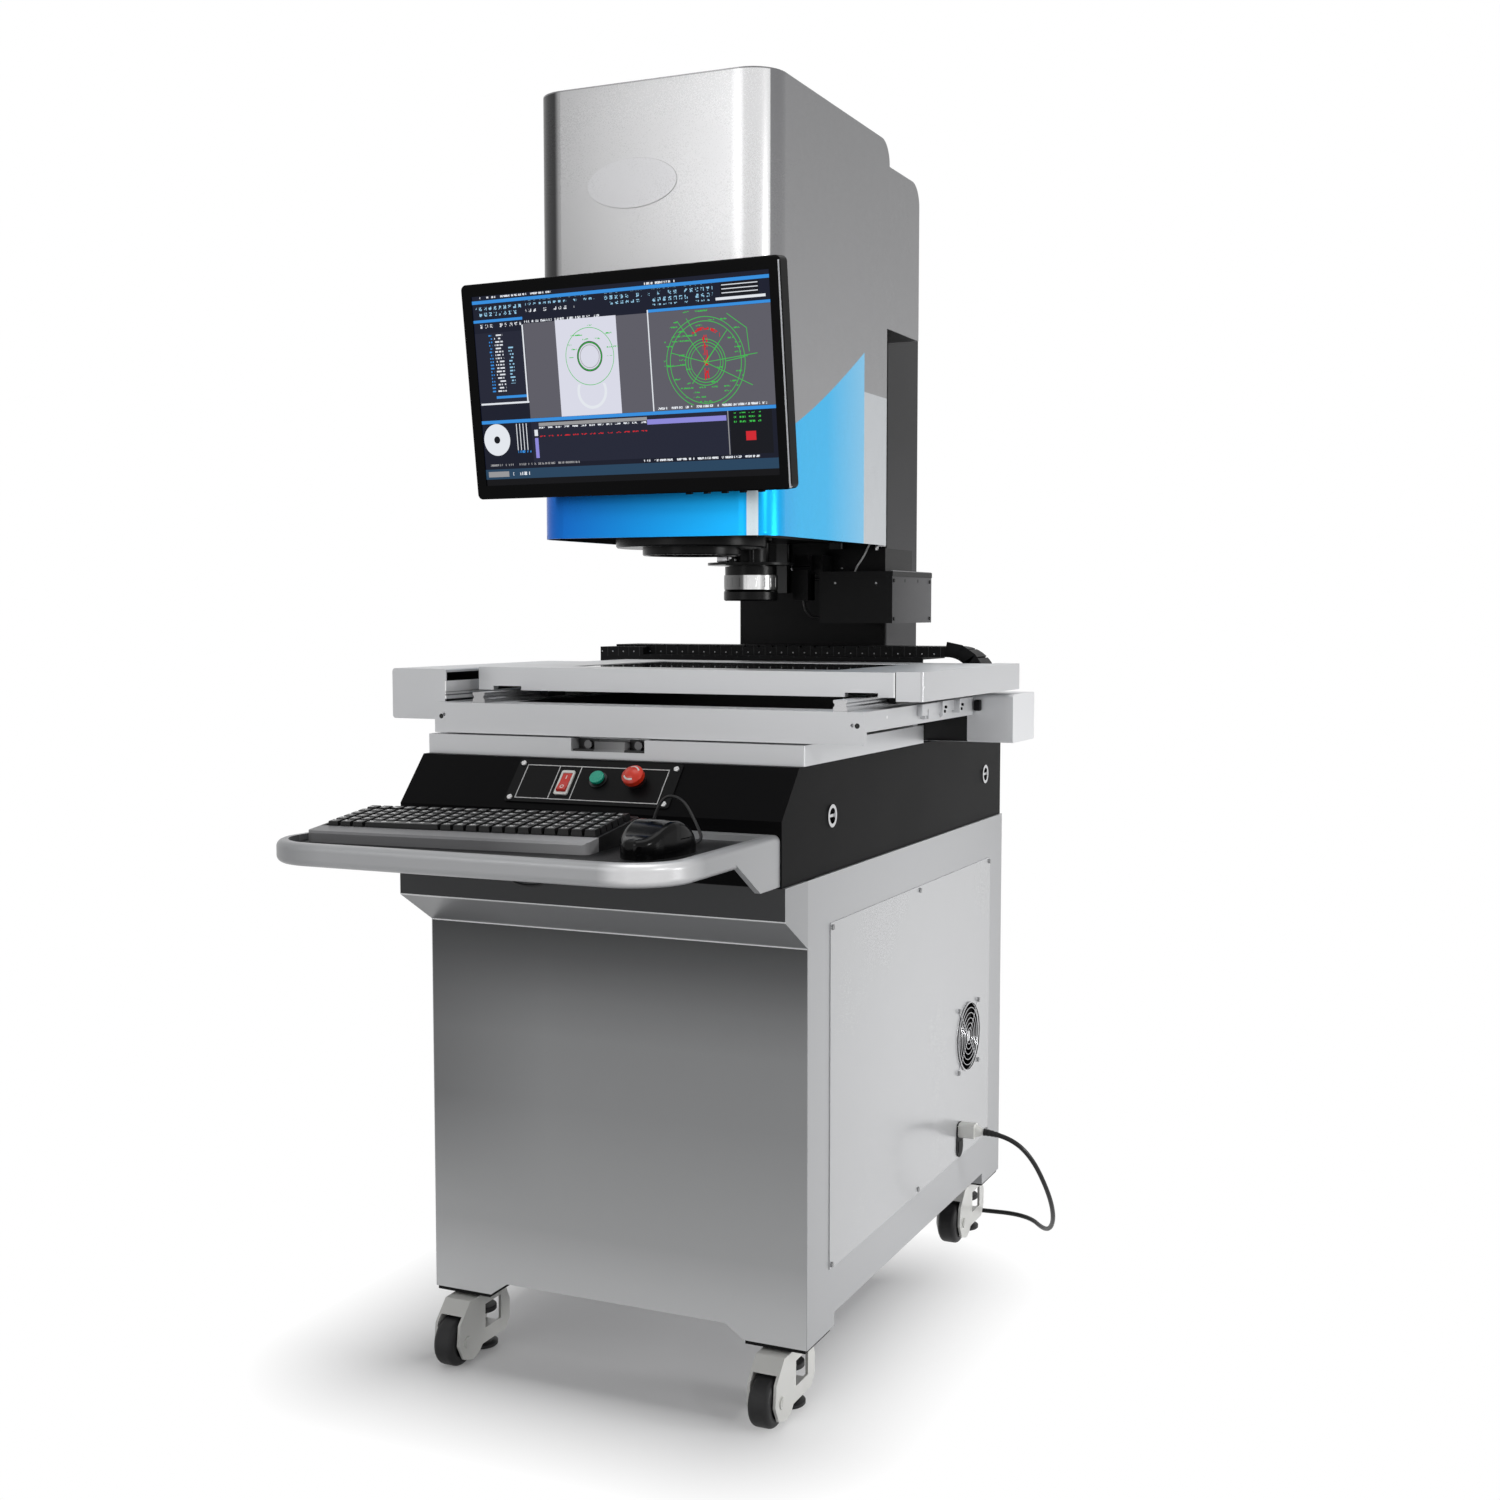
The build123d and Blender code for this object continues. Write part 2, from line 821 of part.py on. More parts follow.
# guide rails fixed to the base plate and to the column
rail_outline = [
    (-rail_width / 2, 0),
    (-rail_width / 2, rail_height * 0.35),
    (-rail_width / 2 + rail_waist, rail_height * 0.5),
    (-rail_width / 2 + rail_waist, rail_height * 0.65),
    (-rail_width / 2, rail_height * 0.8),
    (-rail_width / 2, rail_height),
    (rail_width / 2, rail_height),
    (rail_width / 2, rail_height * 0.8),
    (rail_width / 2 - rail_waist, rail_height * 0.65),
    (rail_width / 2 - rail_waist, rail_height * 0.5),
    (rail_width / 2, rail_height * 0.35),
    (rail_width / 2, 0),
]
with BuildPart(home) as fixed_rails:
    for rail_y in (x_rail_front, x_rail_rear):
        x_rail_end = Plane(
            origin=(machine_x - x_rail_half, machine_y + rail_y, base_top),
            x_dir=(0, 1, 0),
            z_dir=(1, 0, 0),
        )
        with BuildSketch(x_rail_end):
            Polygon(*rail_outline, align=None)
        extrude(amount=2 * x_rail_half)
    for rail_x in (-z_rail_x, z_rail_x):
        z_rail_end = Plane(
            origin=(machine_x + rail_x, machine_y + column_front, z_rail_bottom),
            x_dir=(-1, 0, 0),
            z_dir=(0, 0, 1),
        )
        with BuildSketch(z_rail_end):
            Polygon(*rail_outline, align=None)
        extrude(amount=z_rail_top - z_rail_bottom)
fixed_rails.part.label = "fixed_rails"
export_step(fixed_rails.part, "parts/fixed_rails.step")

# hollow cover over the x drive, with a slot for the carriage arm
with BuildPart(home) as x_drive_cover:
    slab(x_cover_left, x_cover_right, x_cover_front, x_cover_rear, x_cover_bottom, x_cover_top)
    fillet(x_drive_cover.edges().filter_by(Axis.X), radius=cover_round)
    slab(
        x_cover_left + cover_wall, x_cover_right - cover_wall, x_cover_front + cover_wall,
        x_cover_rear - cover_wall, x_cover_bottom + cover_wall, x_cover_top - cover_wall, Mode.SUBTRACT,
    )
    slab(
        -x_slot_half - x_arm_half, x_slot_half + x_arm_half, x_cover_front - 1, x_cover_front + 2 * cover_wall,
        plate_bottom - 2, carriage_top - 4, Mode.SUBTRACT,
    )
    for foot_x in (-base_half + 40, base_half - 40):
        slab(foot_x - 20, foot_x + 20, x_cover_front + 20, x_cover_rear - 20, housing_top, x_cover_bottom)
x_drive_cover.part.label = "x_drive_cover"
export_step(x_drive_cover.part, "parts/x_drive_cover.step")

# hollow column
with BuildPart(home) as column:
    slab(-column_half, column_half, column_front, column_rear, housing_top, column_top)
    fillet(column.edges().filter_by(Axis.Z), radius=column_wall)
    slab(-column_half - 18, column_half + 18, column_rear - 60, column_rear, housing_top, housing_top + 12)
    slab(
        -column_half + column_wall, column_half - column_wall, column_front + column_wall,
        column_rear - column_wall, housing_top - 1, column_top - column_wall, Mode.SUBTRACT,
    )
column.part.label = "column"
export_step(column.part, "parts/column.step")

# head cover: rounded front corners crossed with a stepped side outline, hollow and open at the back
def cover_outline(inset):
    return [
        (head_front - 60, head_bottom),
        (head_front - 60, head_top - inset),
        (head_step_y - inset, head_top - inset),
        (head_step_y - inset, head_top - head_step - inset),
        (head_rear - inset, head_top - head_step - inset),
        (head_rear - inset, head_notch_z + inset),
        (head_notch_y - inset, head_notch_z + inset),
        (head_notch_y - inset, head_bottom),
    ]


with BuildPart() as head_core:
    with BuildSketch(Plane.XY.offset(head_bottom)):
        with Locations((0, (head_front + head_rear) / 2)):
            Rectangle(2 * (head_half - head_wall), head_rear - head_front - 2 * head_wall)
    extrude(amount=head_top - head_bottom)
    core_front = head_core.edges().filter_by(Axis.Z).sort_by(Axis.Y)[:2]
    fillet(core_front, radius=head_corner - head_wall)
    with BuildSketch(Plane.YZ):
        Polygon(*cover_outline(head_wall), align=None)
    extrude(amount=head_half, both=True, mode=Mode.INTERSECT)
    core_steps = head_core.edges().filter_by(Axis.X).sort_by(Axis.Z)[-4:]
    core_backs = [edge for edge in core_steps if edge.center().Y > head_front + 200]
    core_outer = [edge for edge in core_backs if edge.center().Z > head_top - head_step - 2 * head_wall]
    core_corners = [
        edge for edge in core_outer
        if not (abs(edge.center().Y - head_step_y + head_wall) < 1
                and edge.center().Z < head_top - head_step)
    ]
    fillet(core_corners, radius=head_round - 2 * head_wall)

with BuildPart(home) as head_cover:
    with BuildSketch(home.offset(head_bottom)):
        with Locations((0, (head_front + head_rear) / 2)):
            Rectangle(2 * head_half, head_rear - head_front)
    extrude(amount=head_top - head_bottom)
    cover_front = head_cover.edges().filter_by(Axis.Z).sort_by(Axis.Y)[:2]
    fillet(cover_front, radius=head_corner)
    with BuildSketch(side):
        Polygon(*cover_outline(0), align=None)
    extrude(amount=head_half, both=True, mode=Mode.INTERSECT)
    cover_steps = head_cover.edges().filter_by(Axis.X).sort_by(Axis.Z)[-4:]
    cover_backs = [edge for edge in cover_steps if edge.center().Y > machine_y + head_front + 200]
    cover_outer = [edge for edge in cover_backs if edge.center().Z > head_top - head_step - 1]
    cover_corners = [
        edge for edge in cover_outer
        if not (abs(edge.center().Y - machine_y - head_step_y) < 1 and edge.center().Z < head_top - 1)
    ]
    fillet(cover_corners, radius=head_round - head_wall)
    add(head_core.part, mode=Mode.SUBTRACT)
    # flange round the open underside
    slab(
        -head_half + head_flange, head_half - head_flange, head_front + head_flange, head_notch_y + head_wall,
        head_bottom - 1, head_bottom + 2 * head_wall, Mode.SUBTRACT,
    )
    # back and underside stay open round the column
    slab(
        -column_half - fit, column_half + fit, head_notch_y - 2 * head_wall, head_rear + 1,
        head_bottom - 1, column_top, Mode.SUBTRACT,
    )
head_cover.part.label = "head_cover"
export_step(head_cover.part, "parts/head_cover.step")

# vertical carriage: plate and blocks on the column's rails, arm and shelf for both lenses
shelf_top = shelf_bottom + shelf_height
z_plate_back = column_front - rail_height - 0.4
z_plate_front = z_plate_back - z_plate_depth
with BuildPart(home) as z_carriage:
    slab(-z_plate_half, z_plate_half, z_plate_front, z_plate_back, shelf_bottom, shelf_bottom + z_plate_height)
    for rail_x in (-z_rail_x, z_rail_x):
        for block_z in (shelf_bottom, shelf_bottom + z_plate_height - x_block_length):
            slab(
                rail_x - block_width / 2, rail_x + block_width / 2, z_plate_back,
                column_front - 3, block_z, block_z + x_block_length,
            )
            slab(
                rail_x - rail_width / 2 - fit, rail_x + rail_width / 2 + fit, z_plate_back,
                column_front, block_z - 1, block_z + x_block_length + 1, Mode.SUBTRACT,
            )
    slab(-neck_half, neck_half, lens_y, z_plate_front, shelf_bottom, shelf_top)
    post(0, lens_y, shelf_bottom, shelf_top, lens_ring)
    post(0, lens_y, shelf_bottom - 1, shelf_top + 1, lens_barrel + fit, Mode.SUBTRACT)
    post(0, zoom_y, shelf_bottom - 1, shelf_top + 1, zoom_core + fit, Mode.SUBTRACT)
    with BuildSketch(side):
        Polygon(
            (z_plate_front, shelf_top), (z_plate_front, shelf_top + 90), (z_plate_front - 90, shelf_top),
            align=None,
        )
    extrude(amount=shelf_rim, both=True)
z_carriage.part.label = "z_carriage"
export_step(z_carriage.part, "parts/z_carriage.step")

# wide-field lens, turned from one profile
lens_tier_top = lens_bottom + lens_tier_height
lens_ring_top = lens_tier_top + lens_ring_height
lens_axis = Axis((machine_x, machine_y + lens_y, 0), (0, 0, 1))
lens_section = Plane(origin=(machine_x, machine_y + lens_y, 0), x_dir=(1, 0, 0), z_dir=(0, -1, 0))
with BuildPart(home) as telecentric_lens:
    with BuildSketch(lens_section):
        Polygon(
            (0, lens_bottom + 5),
            (lens_tier - 10, lens_bottom + 5),
            (lens_tier - 7, lens_bottom),
            (lens_tier - 1.5, lens_bottom),
            (lens_tier, lens_bottom + 1.5),
            (lens_tier, lens_tier_top),
            (lens_ring - 2, lens_tier_top),
            (lens_ring, lens_tier_top + 2),
            (lens_ring, lens_ring_top - 1),
            (lens_ring - 1, lens_ring_top),
            (lens_barrel, lens_ring_top),
            (lens_barrel, shelf_top),
            (lens_barrel + shelf_rim, shelf_top),
            (lens_barrel + shelf_rim, shelf_top + 5),
            (lens_barrel, shelf_top + 5),
            (lens_barrel, shelf_top + 90),
            (lens_barrel * 0.4, shelf_top + 210),
            (lens_barrel * 0.4, lens_top - 70),
            (28, lens_top - 70),
            (28, lens_top),
            (0, lens_top),
            align=None,
        )
    revolve(axis=lens_axis)
telecentric_lens.part.label = "telecentric_lens"
export_step(telecentric_lens.part, "parts/telecentric_lens.step")

# zoom lens and its turning ring
zoom_grip_bottom = zoom_bottom + zoom_foot_height
zoom_grip_top = zoom_grip_bottom + zoom_grip_height
zoom_collar_top = zoom_grip_top + zoom_collar_height
zoom_axis = Axis((machine_x, machine_y + zoom_y, 0), (0, 0, 1))
zoom_section = Plane(origin=(machine_x, machine_y + zoom_y, 0), x_dir=(1, 0, 0), z_dir=(0, -1, 0))
with BuildPart(home) as zoom_lens:
    with BuildSketch(zoom_section):
        Polygon(
            (0, zoom_bottom + 9),
            (zoom_foot - 12, zoom_bottom + 5),
            (zoom_foot - 8, zoom_bottom),
            (zoom_foot - 2, zoom_bottom),
            (zoom_foot, zoom_bottom + 2),
            (zoom_foot, zoom_grip_bottom - 4),
            (zoom_foot - 2, zoom_grip_bottom),
            (zoom_core, zoom_grip_bottom),
            (zoom_core, zoom_grip_top),
            (zoom_collar, zoom_grip_top),
            (zoom_collar, zoom_collar_top),
            (zoom_core, zoom_collar_top),
            (zoom_core, zoom_collar_top + 2),
            (zoom_flange, zoom_collar_top + 2),
            (zoom_flange, zoom_collar_top + 2 + zoom_flange_height),
            (zoom_neck, zoom_collar_top + 2 + zoom_flange_height),
            (zoom_neck, shelf_bottom - 8),
            (zoom_core, shelf_bottom - 4),
            (zoom_core, shelf_top),
            (zoom_collar, shelf_top),
            (zoom_collar, shelf_top + 5),
            (zoom_core, shelf_top + 5),
            (zoom_core, shelf_top + 60),
            (zoom_neck, shelf_top + 70),
            (zoom_neck, shelf_top + 150),
            (0, shelf_top + 150),
            align=None,
        )
    revolve(axis=zoom_axis)
    # two posts that carry the ring light's flange
    for post_x in (-18, 18):
        post(post_x, zoom_y - zoom_neck - 6, zoom_collar_top + 2, shelf_bottom, 4)
zoom_lens.part.label = "zoom_lens"
export_step(zoom_lens.part, "parts/zoom_lens.step")

with BuildPart(home) as zoom_ring:
    post(0, zoom_y, zoom_grip_bottom + fit, zoom_grip_top - fit, zoom_grip)
    with Locations((0, zoom_y, (zoom_grip_bottom + zoom_grip_top) / 2)):
        with PolarLocations(zoom_grip, 20):
            Cylinder(1.1, zoom_grip_height - 8, mode=Mode.SUBTRACT)
    post(0, zoom_y, zoom_grip_bottom - 1, zoom_grip_top + 1, zoom_core + fit, Mode.SUBTRACT)
zoom_ring.part.label = "zoom_ring"
export_step(zoom_ring.part, "parts/zoom_ring.step")

# control box on the column with its lid, and the smaller block above it
with BuildPart(home) as side_box:
    slab(box_left, box_right, box_front, column_front, box_bottom, box_top)
    slab(box_left - 1, box_right + 1, box_front - 1, column_front, box_top, box_top + box_lid)
    slab(box_right - 3, box_right, box_front + 3, column_front, box_top + box_lid, box_top + box_lid + 1.2)
    slab(tower_left, tower_right, tower_front, column_front, box_top, tower_top)
    slab(finger_left, finger_right, box_front, box_front + finger_depth, finger_bottom, finger_top)
    slab(
        finger_right - 14, tower_left + 12, box_front + finger_depth - 10, tower_front + 10,
        finger_top - 30, finger_top,
    )
    rod_x(finger_left, tower_left, box_front - 2, finger_top - 21, 3)
    for screw_y in (box_front + 7, column_front - 10):
        for screw_z in (box_bottom + 7, box_top - 7):
            rod_x(box_right, box_right + 1.6, screw_y, screw_z, 3)
side_box.part.label = "side_box"
export_step(side_box.part, "parts/side_box.step")

# cable chain: top run on a shelf, half turn at the right, bottom run behind the cover
chain_middle = chain_front + chain_width / 2
chain_low = chain_top - 2 * chain_bend
with BuildPart(home) as drag_chain:
    slab(chain_left, chain_bend_x, chain_front, chain_front + chain_width, chain_top - chain_thickness, chain_top)
    slab(
        -column_half, chain_bend_x, chain_front, chain_front + chain_width,
        chain_low, chain_low + chain_thickness,
    )
    rod_y(chain_bend_x, chain_front, chain_front + chain_width, chain_top - chain_bend, chain_bend)
    slab(
        chain_bend_x - 2 * chain_bend, chain_bend_x, chain_front - 1, chain_front + chain_width + 1,
        chain_low + chain_thickness, chain_top - chain_thickness, Mode.SUBTRACT,
    )
    rod_y(
        chain_bend_x, chain_front - 1, chain_front + chain_width + 1, chain_top - chain_bend,
        chain_bend - chain_thickness, Mode.SUBTRACT,
    )
    for link in range(int((chain_bend_x - chain_left) / link_pitch)):
        slit_x = chain_bend_x - link * link_pitch
        slab(
            slit_x - link_slit / 2, slit_x + link_slit / 2, chain_front - 1, chain_front + chain_width + 1,
            chain_top - 3, chain_top + 1, Mode.SUBTRACT,
        )
    for turn in range(1, 8):
        slit_angle = math.radians(90 - turn * 22.5)
        with Locations((
            chain_bend_x + chain_bend * math.cos(slit_angle), chain_middle,
            chain_top - chain_bend + chain_bend * math.sin(slit_angle),
        )):
            Box(6, chain_width + 2, link_slit, rotation=(0, -math.degrees(slit_angle), 0), mode=Mode.SUBTRACT)
    slab(
        chain_bend_x - 2 * chain_bend, chain_bend_x - 20, chain_front + 8, chain_front + chain_width - 8,
        housing_top, chain_low,
    )
    slab(
        shelf_left, shelf_right, shelf_front, shelf_rear,
        chain_top - chain_thickness - shelf_sheet, chain_top - chain_thickness,
    )
    slab(
        shelf_left, shelf_right, shelf_front, shelf_front + shelf_sheet,
        chain_top - chain_thickness - shelf_sheet - shelf_flange, chain_top - chain_thickness - shelf_sheet,
    )
    slab(
        shelf_left, shelf_left + anchor_width, shelf_front, shelf_rear,
        chain_top - chain_thickness, chain_top - shelf_sheet,
    )
    for leg_x in (-housing_half + 26, shelf_right - 40):
        slab(
            leg_x - 20, leg_x + 20, shelf_front, shelf_front + shelf_sheet, housing_top,
            chain_top - chain_thickness - shelf_sheet,
        )
drag_chain.part.label = "drag_chain"
export_step(drag_chain.part, "parts/drag_chain.step")

# middle stage: open frame with a front apron, blocks under it and a wing for the y drive
with BuildPart(shifted) as x_carriage:
    slab(plate_left, apron_right, 0, plate_rear, plate_bottom, carriage_top)
    slab(
        plate_left + carriage_bar_x, apron_right - carriage_bar_x, carriage_bar_y, plate_rear - carriage_bar_y + 12,
        plate_bottom - 1, carriage_top + 1, Mode.SUBTRACT,
    )
    slab(apron_left, apron_right, 0, apron_sheet, apron_bottom, carriage_top)
    slab(apron_left, plate_left, 0, y_cover_front, plate_bottom, carriage_top)
    for hole_x in (apron_left + 16, apron_right - 16):
        rod_y(hole_x, -1, 5, apron_bottom + 26, 2.5, Mode.SUBTRACT)
    for rail_y in (x_rail_front, x_rail_rear):
        slab(
            -x_block_x - x_block_length / 2, x_block_x + x_block_length / 2, rail_y - block_width / 2,
            rail_y + block_width / 2, base_top + rail_height + 0.5, plate_bottom + 1,
        )
        for block_x in (-x_block_x, x_block_x):
            slab(
                block_x - x_block_length / 2, block_x + x_block_length / 2, rail_y - block_width / 2,
                rail_y + block_width / 2, base_top + 3, plate_bottom,
            )
            slab(
                block_x - x_block_length, block_x + x_block_length, rail_y - rail_width / 2 - fit,
                rail_y + rail_width / 2 + fit, base_top + 1, base_top + rail_height + 0.5, Mode.SUBTRACT,
            )
    slab(wing_left, plate_left + 20, wing_front, wing_rear, plate_bottom - wing_height, plate_bottom)
    slab(-x_arm_half, x_arm_half, plate_rear, plate_rear + 12, plate_bottom + 6, carriage_top - 8)
    # cable bracket on the right side
    slab(apron_right, apron_right + 6, 228, 318, plate_bottom + 6, carriage_top - 7)
    slab(apron_right + 6, apron_right + 9, 236, 250, plate_bottom + 6, carriage_top - 7)
    slab(apron_right + 6, apron_right + 9, 296, 310, plate_bottom + 6, carriage_top - 7)
x_carriage.part.label = "x_carriage"
export_step(x_carriage.part, "parts/x_carriage.step")

# rails along y on the middle stage
with BuildPart(shifted) as y_rails:
    for rail_x in (-y_rail_x, y_rail_x):
        y_rail_end = Plane(
            origin=(machine_x + stage_shift + rail_x, machine_y + y_rail_rear, carriage_top),
            x_dir=(1, 0, 0),
            z_dir=(0, -1, 0),
        )
        with BuildSketch(y_rail_end):
            Polygon(*rail_outline, align=None)
        extrude(amount=y_rail_rear - y_rail_front)
    rail_holes = int((y_rail_rear - y_rail_front) / y_rail_pitch)
    with Locations((0, (y_rail_front + y_rail_rear) / 2, carriage_top + rail_height)):
        with GridLocations(2 * y_rail_x, y_rail_pitch, 2, rail_holes):
            Cylinder(y_rail_hole, 6, mode=Mode.SUBTRACT)
y_rails.part.label = "y_rails"
export_step(y_rails.part, "parts/y_rails.step")

# hollow cover over the y drive: the wall towards the stage is open under the top sheet and grooved below
y_cover_right = apron_left
y_slot_top = plate_bottom + y_cover_height - cover_round
y_slot_bottom = y_slot_top - y_slot_height
with BuildPart(shifted) as y_drive_cover:
    slab(
        y_cover_left, y_cover_right, y_cover_front, y_cover_rear, plate_bottom, plate_bottom + y_cover_height,
    )
    fillet(y_drive_cover.edges().filter_by(Axis.Y), radius=cover_round)
    slab(
        y_cover_left + cover_wall, y_cover_right - cover_wall, y_cover_front + cover_wall,
        y_cover_rear - cover_wall, plate_bottom + cover_wall,
        plate_bottom + y_cover_height - cover_wall, Mode.SUBTRACT,
    )
    slab(
        y_cover_right - 2 * cover_wall, y_cover_right + 1, y_cover_front + cover_wall, y_cover_rear - cover_wall,
        y_slot_bottom, y_slot_top, Mode.SUBTRACT,
    )
    for groove_drop, groove_height in ((y_step_drop, y_step_height), (y_line_drop, y_line_height)):
        slab(
            y_cover_right - y_groove_depth, y_cover_right + 1, y_cover_front - 1, y_cover_rear + 1,
            y_slot_bottom - groove_drop - groove_height, y_slot_bottom - groove_drop, Mode.SUBTRACT,
        )
y_drive_cover.part.label = "y_drive_cover"
export_step(y_drive_cover.part, "parts/y_drive_cover.step")

# top stage: plate with a glass pocket, skirts notched over the rails, blocks and side bar
plate_under = stage_top - stage_plate
glass_middle = (stage_front + stage_rear) / 2
glass_under = stage_top - glass_recess - glass_thickness
with BuildPart(shifted) as stage_frame:
    slab(-stage_half, stage_half, stage_front, stage_rear, stage_bottom, stage_top)
    slab(
        -stage_half + stage_skirt, stage_half - stage_skirt, stage_front + stage_skirt,
        stage_rear - stage_skirt, stage_bottom - 1, plate_under, Mode.SUBTRACT,
    )
    slab(
        -glass_x / 2 + glass_ledge, glass_x / 2 - glass_ledge, glass_middle - glass_y / 2 + glass_ledge,
        glass_middle + glass_y / 2 - glass_ledge, plate_under - 1, stage_top + 1, Mode.SUBTRACT,
    )
    slab(
        -glass_x / 2 - fit, glass_x / 2 + fit, glass_middle - glass_y / 2 - fit,
        glass_middle + glass_y / 2 + fit, glass_under, stage_top + 1, Mode.SUBTRACT,
    )
    for rail_x in (-y_rail_x, y_rail_x):
        slab(
            rail_x - stage_notch / 2, rail_x + stage_notch / 2, stage_front - 1, stage_rear + 1,
            stage_bottom - 1, stage_bottom + stage_notch_rise, Mode.SUBTRACT,
        )
        for block_front in (y_block_front, y_block_rear):
            slab(
                rail_x - block_width / 2, rail_x + block_width / 2, block_front,
                block_front + y_block_length, carriage_top + 3, plate_under,
            )
            slab(
                rail_x - rail_width / 2 - fit, rail_x + rail_width / 2 + fit, block_front - 1,
                block_front + y_block_length + 1, carriage_top + 2,
                carriage_top + rail_height + stage_lift, Mode.SUBTRACT,
            )
    slab(
        stage_half, stage_half + stage_bar_width, stage_front, stage_rear,
        stage_bottom - stage_bar_drop, stage_top + stage_bar_rise,
    )
    slab(
        apron_left - 14, -stage_half, arm_y - arm_width / 2, arm_y + arm_width / 2,
        y_slot_bottom + cover_wall, y_slot_top - cover_wall,
    )
    stage_posts = stage_frame.edges().filter_by(Axis.Z).filter_by(lambda edge: edge.length > stage_height)
    fillet(stage_posts, radius=stage_corner)
stage_frame.part.label = "stage_frame"
export_step(stage_frame.part, "parts/stage_frame.step")

with BuildPart(shifted) as stage_glass:
    slab(
        -glass_x / 2, glass_x / 2, glass_middle - glass_y / 2, glass_middle + glass_y / 2,
        glass_under, stage_top - glass_recess,
    )
    chamfer(stage_glass.faces().sort_by(Axis.Z)[-1].edges(), length=0.6)
stage_glass.part.label = "stage_glass"
export_step(stage_glass.part, "parts/stage_glass.step")

# monitor planes: screen plane turned and tipped, swivel axis behind the tilt axis
yaw = math.radians(monitor_yaw)
tilt = math.radians(monitor_tilt)
monitor_normal = Vector(math.sin(yaw) * math.cos(tilt), -math.cos(yaw) * math.cos(tilt), -math.sin(tilt))
monitor_right = Vector(math.cos(yaw), math.sin(yaw), 0)
monitor_centre = Vector(machine_x + monitor_x, machine_y + monitor_y, monitor_z)
tilt_centre = monitor_centre - monitor_normal * tilt_offset
swivel_centre = tilt_centre + Vector(-math.sin(yaw), math.cos(yaw), 0) * swivel_offset
screen_plane = Plane(origin=monitor_centre, x_dir=monitor_right, z_dir=monitor_normal)
arm_plane = Plane(origin=swivel_centre, x_dir=monitor_right, z_dir=(0, 0, 1))
wall_plane = Plane(
    origin=(swivel_centre.X, machine_y + head_front, swivel_centre.Z),
    x_dir=(1, 0, 0),
    z_dir=(0, -1, 0),
)
wall_reach = machine_y + head_front - swivel_centre.Y
with BuildPart(wall_plane) as monitor_bracket:
    with BuildSketch(wall_plane):
        RectangleRounded(wall_plate, wall_plate, 6)
    extrude(amount=wall_plate_sheet)
    for z_side in (-1, 1):
        lug_plane = Plane(
            origin=swivel_centre + Vector(0, 0, z_side * (swivel_half + lug / 2)), x_dir=(1, 0, 0), z_dir=(0, 0, 1),
        )
        with BuildSketch(lug_plane):
            Circle(swivel_barrel)
            with Locations((0, wall_reach / 2)):
                Rectangle(2 * swivel_barrel, wall_reach - wall_plate_sheet / 2)
        extrude(amount=lug / 2, both=True)
    pin_plane = Plane(origin=swivel_centre, x_dir=(1, 0, 0), z_dir=(0, 0, 1))
    with BuildSketch(pin_plane):
        Circle(swivel_pin)
    extrude(amount=swivel_half + lug / 2, both=True)
monitor_bracket.part.label = "monitor_bracket"
export_step(monitor_bracket.part, "parts/monitor_bracket.step")

# arm: upright barrel on the bracket's pin, level barrel for the monitor's pin
with BuildPart(arm_plane) as monitor_arm:
    Cylinder(swivel_barrel, 2 * swivel_half)
    with Locations((0, -swivel_offset, 0)):
        Cylinder(tilt_barrel, 2 * tilt_half, rotation=(0, 90, 0))
    with Locations((0, -swivel_offset / 2, 0)):
        Box(2 * tilt_half - 12, swivel_offset, 9)
    Cylinder(swivel_pin + fit, 4 * swivel_half, mode=Mode.SUBTRACT)
    with Locations((0, -swivel_offset, 0)):
        Cylinder(tilt_pin + fit, 4 * tilt_half, rotation=(0, 90, 0), mode=Mode.SUBTRACT)
monitor_arm.part.label = "monitor_arm"
export_step(monitor_arm.part, "parts/monitor_arm.step")

# monitor case: slim front frame, lofted back, lugs with a pin through the arm
with BuildPart(screen_plane) as monitor_case:
    with BuildSketch(screen_plane.offset(-monitor_rim)):
        RectangleRounded(monitor_width, monitor_height, monitor_corner)
    extrude(amount=monitor_rim)
    fillet(monitor_case.faces().sort_by(Axis(screen_plane.origin, screen_plane.z_dir))[-1].edges(), radius=2)
    with BuildSketch(screen_plane.offset(-monitor_rim)):
        RectangleRounded(monitor_width - 8, monitor_height - 8, monitor_corner)
    with BuildSketch(screen_plane.offset(-monitor_depth)):
        RectangleRounded(monitor_back_width, monitor_back_height, monitor_corner)
    loft()
    with BuildSketch(screen_plane.offset(-screen_recess - screen_thickness)):
        with Locations((0, screen_rise)):
            Rectangle(screen_width + 2 * fit, screen_height + 2 * fit)
    extrude(amount=screen_recess + screen_thickness + 1, mode=Mode.SUBTRACT)
    for x_side in (-1, 1):
        lug_face = Plane(
            origin=screen_plane.from_local_coords((x_side * (tilt_half + gap + lug / 2), 0, -tilt_offset)),
            x_dir=screen_plane.z_dir,
            z_dir=screen_plane.x_dir,
        )
        with BuildSketch(lug_face):
            Circle(tilt_barrel)
            with Locations(((tilt_offset - monitor_depth + 1) / 2, 0)):
                Rectangle(tilt_offset - monitor_depth + 1, 2 * tilt_barrel)
        extrude(amount=lug / 2, both=True)
    with Locations((0, 0, -tilt_offset)):
        Cylinder(tilt_pin, 2 * tilt_half + lug, rotation=(0, 90, 0))
    with Locations((monitor_width / 2 - 105, -monitor_height / 2 - 1, -8)):
        with GridLocations(28, 1, key_count, 1):
            Box(9, 3, 5)
monitor_case.part.label = "monitor_case"
export_step(monitor_case.part, "parts/monitor_case.step")

